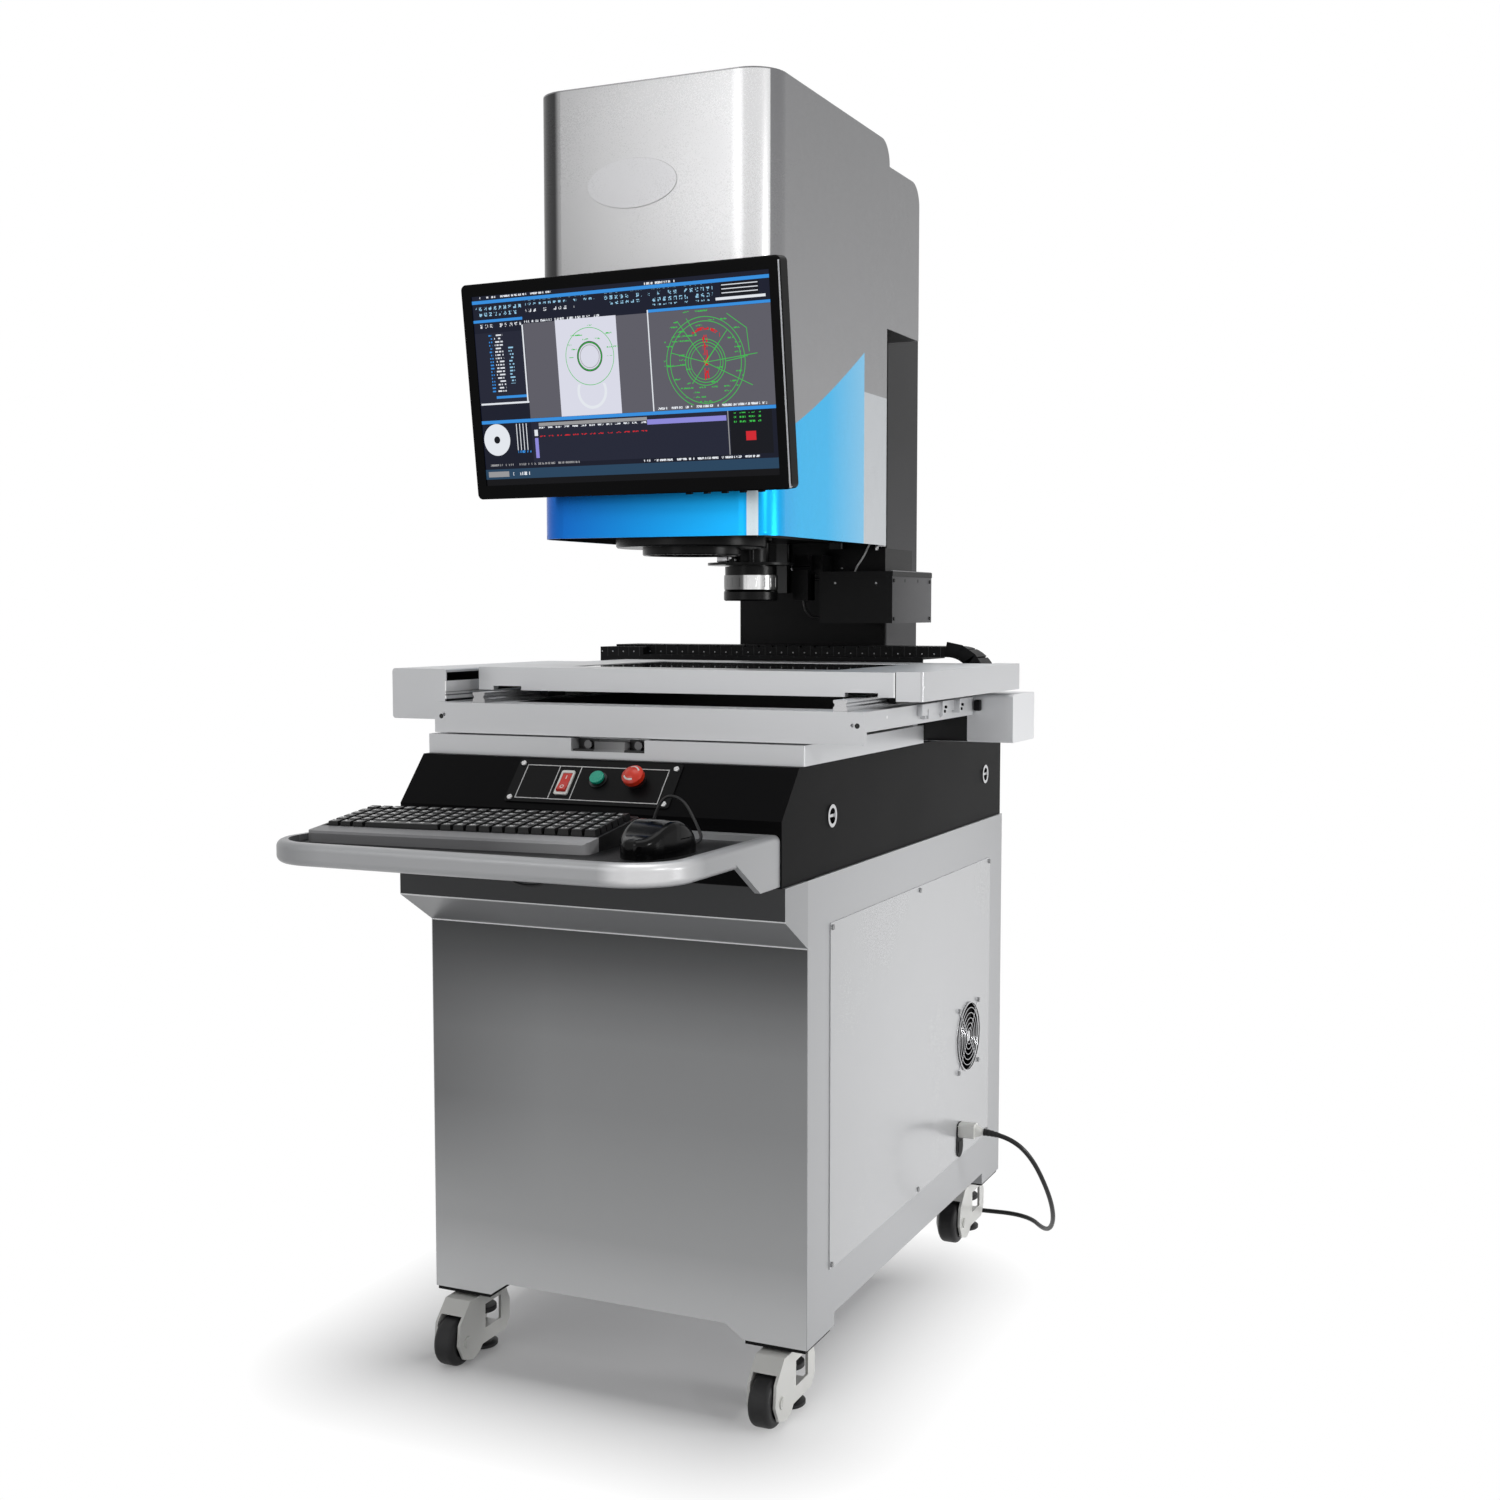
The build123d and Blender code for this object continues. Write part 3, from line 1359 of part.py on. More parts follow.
with BuildPart(screen_plane) as monitor_screen:
    with BuildSketch(screen_plane.offset(-screen_recess - screen_thickness)):
        with Locations((0, screen_rise)):
            Rectangle(screen_width, screen_height)
    extrude(amount=screen_thickness)
monitor_screen.part.label = "monitor_screen"
export_step(monitor_screen.part, "parts/monitor_screen.step")

# keyboard tray: a pan in a rounded rim, hung on two cut-away side plates
with BuildPart(home) as tray:
    slab(-tray_half, tray_half, tray_front, -housing_nose, tray_bottom, tray_top)
    tray_corners = tray.edges().filter_by(Axis.Z).sort_by(Axis.Y)[:2]
    fillet(tray_corners, radius=tray_corner)
    tray_rims = tray.faces().sort_by(Axis.Z)[-1].edges().filter_by(
        lambda edge: edge.center().Y < machine_y - housing_nose - 1
    )
    fillet(tray_rims, radius=tray_round)
    tray_unders = tray.faces().sort_by(Axis.Z)[0].edges().filter_by(
        lambda edge: edge.center().Y < machine_y - housing_nose - 1
    )
    fillet(tray_unders, radius=tray_round)
    with BuildSketch(home.offset(tray_bottom + tray_floor)) as tray_pan:
        with Locations((0, (tray_front + tray_rim - housing_nose - tray_rear_rim) / 2)):
            Rectangle(2 * (tray_half - tray_rim), -housing_nose - tray_rear_rim - tray_front - tray_rim)
        pan_corners = tray_pan.vertices().sort_by(Axis.Y)[:2]
        fillet(pan_corners, radius=tray_corner - tray_rim)
    extrude(amount=tray_top - tray_bottom, mode=Mode.SUBTRACT)
    for x_side in (-1, 1):
        with BuildSketch(side.offset(x_side * (tray_half - bracket_sheet / 2))):
            Polygon(
                (-housing_nose, bracket_bottom),
                (bracket_foot_y, bracket_bottom),
                (bracket_toe_y, tray_bottom + tray_round),
                (-housing_nose, tray_bottom + tray_round),
                align=None,
            )
        extrude(amount=bracket_sheet / 2, both=True)
    for hole_x in (keyboard_hole_x, mouse_hole_x):
        post(hole_x, cord_slot_y, tray_bottom - 1, tray_top + 1, cord_slot, Mode.SUBTRACT)
tray.part.label = "tray"
export_step(tray.part, "parts/tray.step")

with BuildPart(home) as tray_mat:
    slab(
        -tray_half + tray_rim + gap, tray_half - tray_rim - gap, tray_front + tray_rim + gap,
        -housing_nose - tray_rear_rim - gap, tray_bottom + tray_floor, mat_top,
    )
    mat_corners = tray_mat.edges().filter_by(Axis.Z).sort_by(Axis.Y)[:2]
    fillet(mat_corners, radius=tray_corner - tray_rim - gap)
    for hole_x in (keyboard_hole_x, mouse_hole_x):
        post(hole_x, cord_slot_y, tray_bottom, mat_top + 1, cord_slot, Mode.SUBTRACT)
tray_mat.part.label = "tray_mat"
export_step(tray_mat.part, "parts/tray_mat.step")

# keyboard: wedge case with a well for the keys
keyboard_plane = Plane(
    origin=(machine_x + keyboard_x, machine_y + keyboard_y, mat_top),
    x_dir=(math.cos(math.radians(keyboard_turn)), math.sin(math.radians(keyboard_turn)), 0),
    z_dir=(0, 0, 1),
)
deck_tilt = math.degrees(math.atan2(keyboard_rear_height - keyboard_front_height, keyboard_depth))
keyboard_side = Plane(origin=keyboard_plane.origin, x_dir=keyboard_plane.y_dir, z_dir=keyboard_plane.x_dir)
deck_origin = keyboard_plane.from_local_coords((0, 0, (keyboard_front_height + keyboard_rear_height) / 2))
deck = Plane(origin=deck_origin, x_dir=keyboard_plane.x_dir, z_dir=keyboard_plane.z_dir).rotated((deck_tilt, 0, 0))
key_field_x = key_columns * key_pitch
key_field_y = (key_rows + 1) * key_pitch + 5
key_shift = 12
with BuildPart(keyboard_plane) as keyboard_case:
    with BuildSketch(keyboard_side):
        Polygon(
            (-keyboard_depth / 2, 0),
            (-keyboard_depth / 2, keyboard_front_height - 3),
            (-keyboard_depth / 2 + 3, keyboard_front_height),
            (keyboard_depth / 2, keyboard_rear_height),
            (keyboard_depth / 2, 4),
            (keyboard_depth / 2 - 4, 0),
            align=None,
        )
    extrude(amount=keyboard_width / 2, both=True)
    fillet(keyboard_case.edges().filter_by(Axis.Z), radius=keyboard_corner)
    with BuildSketch(deck):
        with Locations((0, key_shift)):
            Rectangle(key_field_x + 3, key_field_y + 3)
    extrude(amount=-key_sink - key_travel - key_carrier, mode=Mode.SUBTRACT)
    with BuildSketch(deck):
        with Locations((0, key_shift)):
            Rectangle(key_field_x + 3, key_field_y + 3)
    extrude(amount=keyboard_front_height, mode=Mode.SUBTRACT)
keyboard_case.part.label = "keyboard_case"
export_step(keyboard_case.part, "parts/keyboard_case.step")

# keys: five full rows, a function row and a wide space key on one carrier
with BuildPart(deck) as keyboard_keys:
    with BuildSketch(deck.offset(-key_sink)):
        with Locations((0, key_shift)):
            Rectangle(key_field_x + 1, key_field_y + 1)
    extrude(amount=key_carrier)
    row_start = key_shift - key_field_y / 2 + key_pitch / 2
    for row in range(key_rows + 1):
        row_y = row_start + row * key_pitch + (5 if row == key_rows else 0)
        for column_number in range(key_columns):
            under_space = row == 0 and 3 <= column_number < 3 + space_keys
            if not under_space:
                with BuildSketch(deck.offset(-key_sink + key_carrier)):
                    with Locations(((column_number - (key_columns - 1) / 2) * key_pitch, row_y)):
                        Rectangle(key_size, key_size)
                extrude(amount=key_height, taper=9)
    with BuildSketch(deck.offset(-key_sink + key_carrier)):
        with Locations(((3 + (space_keys - 1) / 2 - (key_columns - 1) / 2) * key_pitch, row_start)):
            Rectangle(space_keys * key_pitch - key_pitch + key_size, key_size)
    extrude(amount=key_height, taper=9)
keyboard_keys.part.label = "keyboard_keys"
export_step(keyboard_keys.part, "parts/keyboard_keys.step")

# mouse: one egg shape split into body and front buttons, with a slot for the wheel
mouse_plane = Plane(
    origin=(machine_x + mouse_x, machine_y + mouse_y, mat_top),
    x_dir=(math.cos(math.radians(mouse_turn)), math.sin(math.radians(mouse_turn)), 0),
    z_dir=(0, 0, 1),
)
wheel_centre_z = mouse_height - mouse_wheel_radius - mouse_wheel_sink
with BuildPart() as mouse_shape:
    with BuildSketch(Plane.YZ):
        with BuildLine():
            Line((-mouse_length / 2, 0), (mouse_length / 2, 0))
            Line((mouse_length / 2, 0), (mouse_length / 2, 5))
            Spline(
                (mouse_length / 2, 5), (mouse_length * 0.36, mouse_height * 0.66),
                (-4, mouse_height), (-mouse_length * 0.4, mouse_height * 0.6), (-mouse_length / 2, 5),
                tangents=((-0.3, 1), (0.1, -1)),
            )
            Line((-mouse_length / 2, 5), (-mouse_length / 2, 0))
        make_face()
    extrude(amount=mouse_width / 2, both=True)
    with BuildSketch(Plane.XY):
        with BuildLine():
            Spline(
                (mouse_width / 2, 0), (0, mouse_length / 2), (-mouse_width / 2, 0), (0, -mouse_length / 2),
                periodic=True,
            )
        make_face()
    extrude(amount=mouse_height + 5, mode=Mode.INTERSECT)
    mouse_shoulder = mouse_shape.edges().filter_by(
        lambda edge: edge.center().Z > 6 and edge.length > 20
    )
    fillet(mouse_shoulder, radius=9)
with BuildPart(mouse_plane) as mouse_body:
    add(mouse_shape.part)
    slab(
        -mouse_width, mouse_width, mouse_split_y, mouse_length, mouse_split_z, mouse_height + 5, Mode.SUBTRACT,
    )
    slab(
        -mouse_wheel_width / 2 - 1, mouse_wheel_width / 2 + 1, mouse_wheel_y - mouse_wheel_radius - 1,
        mouse_wheel_y + mouse_wheel_radius + 1, wheel_centre_z - mouse_wheel_radius - 1, mouse_height + 5,
        Mode.SUBTRACT,
    )
    slab(
        -mouse_wheel_width / 2 - 2.6, mouse_wheel_width / 2 + 2.6, mouse_wheel_y - 2.5, mouse_wheel_y + 2.5,
        mouse_split_z - 4, wheel_centre_z + 2.5,
    )
    slab(
        -mouse_wheel_width / 2 - 1, mouse_wheel_width / 2 + 1, mouse_wheel_y - mouse_wheel_radius - 1,
        mouse_wheel_y + mouse_wheel_radius + 1, wheel_centre_z - mouse_wheel_radius - 1, mouse_height + 5,
        Mode.SUBTRACT,
    )
    rod_x(-mouse_wheel_width / 2 - 2, mouse_wheel_width / 2 + 2, mouse_wheel_y, wheel_centre_z, mouse_axle)
mouse_body.part.label = "mouse_body"
export_step(mouse_body.part, "parts/mouse_body.step")

with BuildPart(mouse_plane) as mouse_buttons:
    add(mouse_shape.part)
    slab(
        -mouse_width, mouse_width, -mouse_length, mouse_split_y + gap, -1, mouse_height + 5, Mode.SUBTRACT,
    )
    slab(-mouse_width, mouse_width, -mouse_length, mouse_length, -1, mouse_split_z + 1.2, Mode.SUBTRACT)
    slab(
        -mouse_slot / 2 - 1, mouse_slot / 2 + 1, mouse_wheel_y - mouse_wheel_radius - 2, mouse_length,
        -1, mouse_height + 5, Mode.SUBTRACT,
    )
mouse_buttons.part.label = "mouse_buttons"
export_step(mouse_buttons.part, "parts/mouse_buttons.step")

with BuildPart(mouse_plane) as mouse_wheel:
    rod_x(-mouse_wheel_width / 2, mouse_wheel_width / 2, mouse_wheel_y, wheel_centre_z, mouse_wheel_radius)
    fillet(mouse_wheel.edges().filter_by(GeomType.CIRCLE), radius=1.2)
    rod_x(-mouse_wheel_width, mouse_wheel_width, mouse_wheel_y, wheel_centre_z, mouse_axle + fit, Mode.SUBTRACT)
mouse_wheel.part.label = "mouse_wheel"
export_step(mouse_wheel.part, "parts/mouse_wheel.step")

# caster mounts: plate, race and king pin with a retaining head
stem_places = [
    ("fl", -stem_x, stem_front_y),
    ("fr", stem_x, stem_front_y),
    ("rl", -stem_x, stem_rear_y),
    ("rr", stem_x, stem_rear_y),
]
with BuildPart(home) as caster_mounts:
    for corner, place_x, place_y in stem_places:
        slab(
            place_x - mount_size / 2, place_x + mount_size / 2, place_y - mount_size / 2,
            place_y + mount_size / 2, leg_bottom - mount_sheet, leg_bottom,
        )
        post(place_x, place_y, fork_top, leg_bottom - mount_sheet, mount_boss)
        post(place_x, place_y, fork_top - 2 * fork_sheet, fork_top, king_pin)
        post(place_x, place_y, fork_top - 2 * fork_sheet - 4, fork_top - fork_sheet - 0.1, king_head)
caster_mounts.part.label = "caster_mounts"
export_step(caster_mounts.part, "parts/caster_mounts.step")

# each caster: folded fork with windows, wheel on its axle, levelling pad on a spindle with a dial
fork_outer = fork_inner + fork_sheet
for corner, place_x, place_y in stem_places:
    stand = Plane((machine_x + place_x, machine_y + place_y, 0))
    stand_side = Plane(origin=stand.origin, x_dir=(0, 1, 0), z_dir=(1, 0, 0))
    with BuildPart(stand) as caster_fork:
        with BuildSketch(stand_side):
            with BuildLine():
                FilletPolyline(
                    (-62, fork_top), (-89, 66), (-93, 36), (-80, 12), (-56, 4.5), (-40, 8), (-30, 18),
                    (34, 18), (46, 34), (47, 62), (34, 88), (28, fork_top),
                    radius=4, close=True,
                )
            make_face()
            with Locations((0, (web_bottom + web_height + dial_bottom + dial_height + 10) / 2)):
                Rectangle(2 * dial_radius - 4, dial_bottom + dial_height + 10 - web_bottom - web_height,
                          mode=Mode.SUBTRACT)
        extrude(amount=fork_outer, both=True)
        with BuildSketch(stand_side):
            Rectangle(400, 400)
            Polygon(
                (-62, fork_top), (-90, 73), (-90, 66), (-86.5, 70.5), (-61, fork_top - fork_sheet),
                (60, fork_top - fork_sheet), (60, fork_top), align=None, mode=Mode.SUBTRACT,
            )
            with Locations((-4, web_bottom + web_height / 2)):
                Rectangle(34, web_height, mode=Mode.SUBTRACT)
        extrude(amount=fork_inner, both=True, mode=Mode.SUBTRACT)
        Cylinder(king_pin + fit, 300, mode=Mode.SUBTRACT)
        post(0, 0, web_bottom - 1, web_bottom + web_height + 1, spindle + fit + 5, Mode.SUBTRACT)
        post(0, 0, web_bottom, web_bottom + web_height, spindle + fit + 5)
        post(0, 0, web_bottom - 1, web_bottom + web_height + 1, spindle + fit, Mode.SUBTRACT)
        rod_x(-fork_outer - 3, fork_outer + 3, -wheel_trail, wheel_radius, wheel_bore)
        rod_x(-fork_outer - 2.5, -fork_outer, -wheel_trail, wheel_radius, wheel_bore + 3.5)
        rod_x(fork_outer, fork_outer + 2.5, -wheel_trail, wheel_radius, wheel_bore + 3.5)
    caster_fork.part.label = "caster_fork_" + corner
    export_step(caster_fork.part, "parts/caster_fork_" + corner + ".step")

    with BuildPart(stand) as caster_wheel:
        rod_x(-wheel_width / 2, wheel_width / 2, -wheel_trail, wheel_radius, wheel_radius)
        fillet(caster_wheel.edges().filter_by(GeomType.CIRCLE), radius=wheel_round)
        for x_side in (-1, 1):
            dish = x_side * wheel_width / 2
            rod_x(min(dish, dish - x_side * 5), max(dish, dish - x_side * 5), -wheel_trail, wheel_radius,
                  wheel_radius - 13, Mode.SUBTRACT)
            rod_x(min(dish, dish - x_side * 6), max(dish, dish - x_side * 6), -wheel_trail, wheel_radius, 11)
        rod_x(-wheel_width, wheel_width, -wheel_trail, wheel_radius, wheel_bore + fit, Mode.SUBTRACT)
    caster_wheel.part.label = "caster_wheel_" + corner
    export_step(caster_wheel.part, "parts/caster_wheel_" + corner + ".step")

    with BuildPart(stand) as levelling_pad:
        with BuildSketch(Plane(origin=stand.origin, x_dir=(1, 0, 0), z_dir=(0, -1, 0))):
            Polygon(
                (0, pad_clear),
                (pad_radius - 1, pad_clear),
                (pad_radius, pad_clear + 1),
                (pad_radius, pad_clear + 5),
                (pad_radius - 6, pad_clear + pad_height),
                (spindle, pad_clear + pad_height + 1),
                (spindle, dial_bottom),
                (dial_radius - 1, dial_bottom),
                (dial_radius, dial_bottom + 1),
                (dial_radius, dial_bottom + dial_height - 1),
                (dial_radius - 1, dial_bottom + dial_height),
                (spindle, dial_bottom + dial_height),
                (spindle, spindle_top),
                (0, spindle_top),
                align=None,
            )
        revolve(axis=Axis(stand.origin, (0, 0, 1)))
    levelling_pad.part.label = "levelling_pad_" + corner
    export_step(levelling_pad.part, "parts/levelling_pad_" + corner + ".step")

# screws: every place takes one pan head with a shank in its clearance hole
with BuildPart(home) as fasteners:
    screw_faces = []
    for screw_y in panel_screw_ys:
        for screw_z in panel_screw_zs:
            screw_faces.append((half + panel_sheet, screw_y, screw_z, 3 * sheet, "side"))
    for y_side in (-1, 1):
        for z_side in (-1, 1):
            screw_faces.append((
                half + panel_sheet + guard_wire, fan_y + y_side * fan_pitch / 2, fan_z + z_side * fan_pitch / 2,
                fan_depth, "side",
            ))
    for reach_x, screw_y, screw_z, shank, facing in screw_faces:
        rod_x(reach_x, reach_x + screw_head_height, screw_y, screw_z, screw_head_radius)
        rod_x(reach_x - shank, reach_x, screw_y, screw_z, screw_radius)
        slab(
            reach_x + screw_head_height - 1, reach_x + screw_head_height + 1, screw_y - 0.5, screw_y + 0.5,
            screw_z - screw_head_radius, screw_z + screw_head_radius, Mode.SUBTRACT,
        )
    for x_side in (-1, 1):
        rod_y(
            x_side * lock_screw_x, lock_back - lock_sheet - 5, lock_back - lock_sheet,
            lock_screw_z, lock_screw_radius,
        )
        rod_y(
            x_side * lock_screw_x, lock_back - lock_sheet, lock_back, lock_screw_z, screw_radius,
        )
    for screw_s in (board_screw_low, board_screw_high):
        for screw_x in (-board_screw_x, board_screw_x):
            screw_plane = Plane(
                origin=board_face.from_local_coords((screw_x, screw_s, 0)), x_dir=(1, 0, 0), z_dir=board_face.z_dir,
            )
            with BuildSketch(screw_plane):
                Circle(screw_head_radius)
            extrude(amount=screw_head_height)
            with BuildSketch(screw_plane.offset(-board_sheet - housing_wall - 2)):
                Circle(screw_radius)
            extrude(amount=board_sheet + housing_wall + 2)
            with BuildSketch(screw_plane.offset(screw_head_height)):
                Rectangle(2 * screw_head_radius, 1, rotation=30)
                Rectangle(2 * screw_head_radius, 1, rotation=120)
            extrude(amount=-1, mode=Mode.SUBTRACT)
fasteners.part.label = "fasteners"
export_step(fasteners.part, "parts/fasteners.step")


# cords: straight runs joined by arcs, swept with a round section
def corner_radii(points):
    radii = []
    for before, corner, after in zip(points[:-2], points[1:-1], points[2:]):
        first = Vector(*corner) - Vector(*before)
        second = Vector(*after) - Vector(*corner)
        turn = math.radians(first.get_angle(second))
        radii.append(0.45 * min(first.length, second.length) / math.tan(turn / 2))
    return radii


def print_cord(name, points, radii, radius, volume):
    length = sum((Vector(*b) - Vector(*a)).length for a, b in zip(points[:-1], points[1:]))
    for (before, corner, after), bend in zip(zip(points[:-2], points[1:-1], points[2:]), radii):
        turn = math.radians((Vector(*corner) - Vector(*before)).get_angle(Vector(*after) - Vector(*corner)))
        length += bend * turn - 2 * bend * math.tan(turn / 2)
    print(name, "radii", [round(bend, 1) for bend in radii], "length", round(length, 1),
          "volume / (section x length)", round(volume / (math.pi * radius * radius * length), 4))


keyboard_exit = keyboard_plane.from_local_coords((-29, keyboard_depth / 2 + gap, 17))
keyboard_route = [
    (keyboard_exit.X, keyboard_exit.Y, keyboard_exit.Z),
    (machine_x + keyboard_hole_x, machine_y + cord_slot_y, keyboard_exit.Z + 3),
    (machine_x + keyboard_hole_x + 4, machine_y + cord_slot_y + 6, cord_hole_z - 32),
    (machine_x + keyboard_port_x - 24, machine_y - housing_nose - 20, cord_hole_z - 40),
    (machine_x + keyboard_port_x - 1, machine_y - housing_nose - 20, cord_hole_z - 5),
    (machine_x + keyboard_port_x, machine_y - housing_nose + 12, cord_hole_z),
]
keyboard_radii = corner_radii(keyboard_route)
with BuildPart() as keyboard_cord:
    with BuildLine():
        FilletPolyline(*keyboard_route, radius=keyboard_radii)
    with BuildSketch(Plane(
        origin=keyboard_route[0], z_dir=Vector(*keyboard_route[1]) - Vector(*keyboard_route[0]),
    )):
        Circle(desk_cord)
    sweep()
keyboard_cord.part.label = "keyboard_cord"
export_step(keyboard_cord.part, "parts/keyboard_cord.step")
print_cord("keyboard_cord", keyboard_route, keyboard_radii, desk_cord, keyboard_cord.part.volume)

mouse_exit = mouse_plane.from_local_coords((0, mouse_length / 2 + gap, 4.5))
mouse_route = [
    (mouse_exit.X, mouse_exit.Y, mouse_exit.Z),
    (mouse_exit.X + 8, mouse_exit.Y + 34, mat_top + 5),
    (machine_x + mouse_hole_x + 78, machine_y - housing_nose - 48, mat_top + 22),
    (machine_x + mouse_hole_x + 48, machine_y - housing_nose - 30, mat_top + 55),
    (machine_x + mouse_hole_x + 14, machine_y - housing_nose - 27, mat_top + 56),
    (machine_x + mouse_hole_x, machine_y + cord_slot_y, mat_top - 8),
    (machine_x + mouse_hole_x + 1, machine_y + cord_slot_y + 1, cord_hole_z - 4),
    (machine_x + mouse_hole_x, machine_y - housing_nose + 6, cord_hole_z),
]
mouse_radii = corner_radii(mouse_route)
with BuildPart() as mouse_cord:
    with BuildLine():
        FilletPolyline(*mouse_route, radius=mouse_radii)
    with BuildSketch(Plane(origin=mouse_route[0], z_dir=Vector(*mouse_route[1]) - Vector(*mouse_route[0]))):
        Circle(desk_cord)
    sweep()
mouse_cord.part.label = "mouse_cord"
export_step(mouse_cord.part, "parts/mouse_cord.step")
print_cord("mouse_cord", mouse_route, mouse_radii, desk_cord, mouse_cord.part.volume)

# mains plug in the inlet, cord hanging to the floor, spare length coiled behind the cabinet
plug_face = half + panel_sheet + inlet_flange
plug_middle = (inlet_y, socket_z)
cord_floor = mains_cord + 0.2
coil_height = 2 * mains_cord * coil_rows
end_plug_z = cord_floor - mains_cord + coil_height + 0.2 + end_plug_height / 2
end_plug_middle = (coil_y - end_plug_inset, end_plug_z)
with BuildPart(home) as power_connector:
    slab(
        plug_face - plug_entry, plug_face, inlet_y - socket_width / 2 + 0.1, inlet_y + socket_width / 2 - 0.1,
        socket_z - socket_height / 2 + 0.1, socket_z + socket_height / 2 - 0.1,
    )
    with BuildSketch(side.offset(plug_face)):
        with Locations(plug_middle):
            RectangleRounded(plug_width, plug_height, 4)
    extrude(amount=plug_length)
    with BuildSketch(side.offset(plug_face + plug_length)):
        with Locations(plug_middle):
            RectangleRounded(plug_width - 4, plug_height - 4, 4)
    with BuildSketch(side.offset(plug_face + plug_length + plug_taper)):
        with Locations(plug_middle):
            Circle(mains_cord + 1.5)
    loft()
    # wall plug at the far end, lying on the coil
    end_plug_start = coil_x - (end_plug_length + end_plug_taper) / 2
    with BuildSketch(side.offset(end_plug_start)):
        with Locations(end_plug_middle):
            RectangleRounded(end_plug_width, end_plug_height, 5)
    extrude(amount=end_plug_length)
    with BuildSketch(side.offset(end_plug_start + end_plug_length)):
        with Locations(end_plug_middle):
            RectangleRounded(end_plug_width - 6, end_plug_height - 3, 5)
    with BuildSketch(side.offset(end_plug_start + end_plug_length + end_plug_taper)):
        with Locations(end_plug_middle):
            Circle(mains_cord + 1.5)
    loft()
    for y_side in (-1, 1):
        rod_x(
            end_plug_start - plug_pin_length, end_plug_start + 1,
            coil_y - end_plug_inset + y_side * plug_pin_pitch / 2, end_plug_z, plug_pin,
        )
power_connector.part.label = "power_connector"
export_step(power_connector.part, "parts/power_connector.step")

plug_end = plug_face + plug_length + plug_taper
coil_outer = coil_radius + coil_columns * mains_cord
power_route = [
    (machine_x + plug_end + gap, machine_y + inlet_y, socket_z),
    (machine_x + plug_end + 36, machine_y + inlet_y + 1, socket_z - 1),
    (machine_x + plug_end + 76, machine_y + inlet_y + 18, socket_z - 34),
    (machine_x + plug_end + 96, machine_y + inlet_y + 72, socket_z - 118),
    (machine_x + plug_end + 84, machine_y + inlet_y + 146, cord_floor + 46),
    (machine_x + plug_end + 50, machine_y + inlet_y + 222, cord_floor),
    (machine_x + plug_end - 6, machine_y + coil_y - 24, cord_floor),
    (machine_x + coil_x + 92, machine_y + coil_y - coil_outer + 8, cord_floor),
    (machine_x + coil_x + 6, machine_y + coil_y - coil_outer - mains_cord - 0.2, cord_floor),
]
power_radii = corner_radii(power_route)
with BuildPart() as power_cord:
    with BuildLine():
        FilletPolyline(*power_route, radius=power_radii)
    with BuildSketch(Plane(origin=power_route[0], z_dir=Vector(*power_route[1]) - Vector(*power_route[0]))):
        Circle(mains_cord)
    sweep()
power_cord.part.label = "power_cord"
export_step(power_cord.part, "parts/power_cord.step")
print_cord("power_cord", power_route, power_radii, mains_cord, power_cord.part.volume)

with BuildPart(home) as power_cord_coil:
    post(coil_x, coil_y, cord_floor - mains_cord, cord_floor - mains_cord + coil_height, coil_outer)
    post(
        coil_x, coil_y, cord_floor - mains_cord - 1, cord_floor - mains_cord + coil_height + 1,
        coil_radius - coil_columns * mains_cord, Mode.SUBTRACT,
    )
    fillet(power_cord_coil.edges().filter_by(GeomType.CIRCLE), radius=mains_cord - 0.5)
power_cord_coil.part.label = "power_cord_coil"
export_step(power_cord_coil.part, "parts/power_cord_coil.step")
coil_turns = coil_columns * coil_rows
print("coil turns", coil_turns, "length", round(coil_turns * 2 * math.pi * coil_radius, 1),
      "inner radius", coil_radius - coil_columns * mains_cord)
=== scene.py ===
import math

import bpy
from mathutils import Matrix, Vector


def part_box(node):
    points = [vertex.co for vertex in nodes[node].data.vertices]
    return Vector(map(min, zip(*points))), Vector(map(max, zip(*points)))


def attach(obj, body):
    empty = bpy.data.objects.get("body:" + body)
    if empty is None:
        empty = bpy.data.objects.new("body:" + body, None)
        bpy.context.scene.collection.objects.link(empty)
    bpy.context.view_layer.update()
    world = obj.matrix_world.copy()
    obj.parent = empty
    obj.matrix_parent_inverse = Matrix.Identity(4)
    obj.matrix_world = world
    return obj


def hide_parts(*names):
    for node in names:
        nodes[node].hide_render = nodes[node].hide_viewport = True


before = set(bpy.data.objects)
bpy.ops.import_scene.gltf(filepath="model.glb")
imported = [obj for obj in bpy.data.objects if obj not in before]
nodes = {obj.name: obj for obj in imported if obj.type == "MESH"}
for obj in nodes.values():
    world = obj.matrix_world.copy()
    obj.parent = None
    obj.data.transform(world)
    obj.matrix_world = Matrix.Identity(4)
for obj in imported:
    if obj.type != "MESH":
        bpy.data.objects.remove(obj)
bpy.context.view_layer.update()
print("frame loaded:", len(nodes), "nodes")

# front edge of the cabinet on the floor plan, in metres
cabinet = {"x": -0.0275, "y": -0.246}


def at(x, y, z):
    # a point of the machine, from millimetres measured at the cabinet
    return Vector((cabinet["x"] + x / 1000, cabinet["y"] + y / 1000, z / 1000))


# camera at the photograph's place
view = {"place": (1.2009, -2.4848, 1.1083), "turn": (85.66, 0.0, 24.36), "lens": 43.908, "sensor": 36}
bpy.ops.object.camera_add(location=view["place"], rotation=[math.radians(a) for a in view["turn"]])
camera = bpy.context.object
camera.name = "camera"
camera.data.lens = view["lens"]
camera.data.sensor_width = view["sensor"]
bpy.context.scene.camera = camera
print("camera placed")


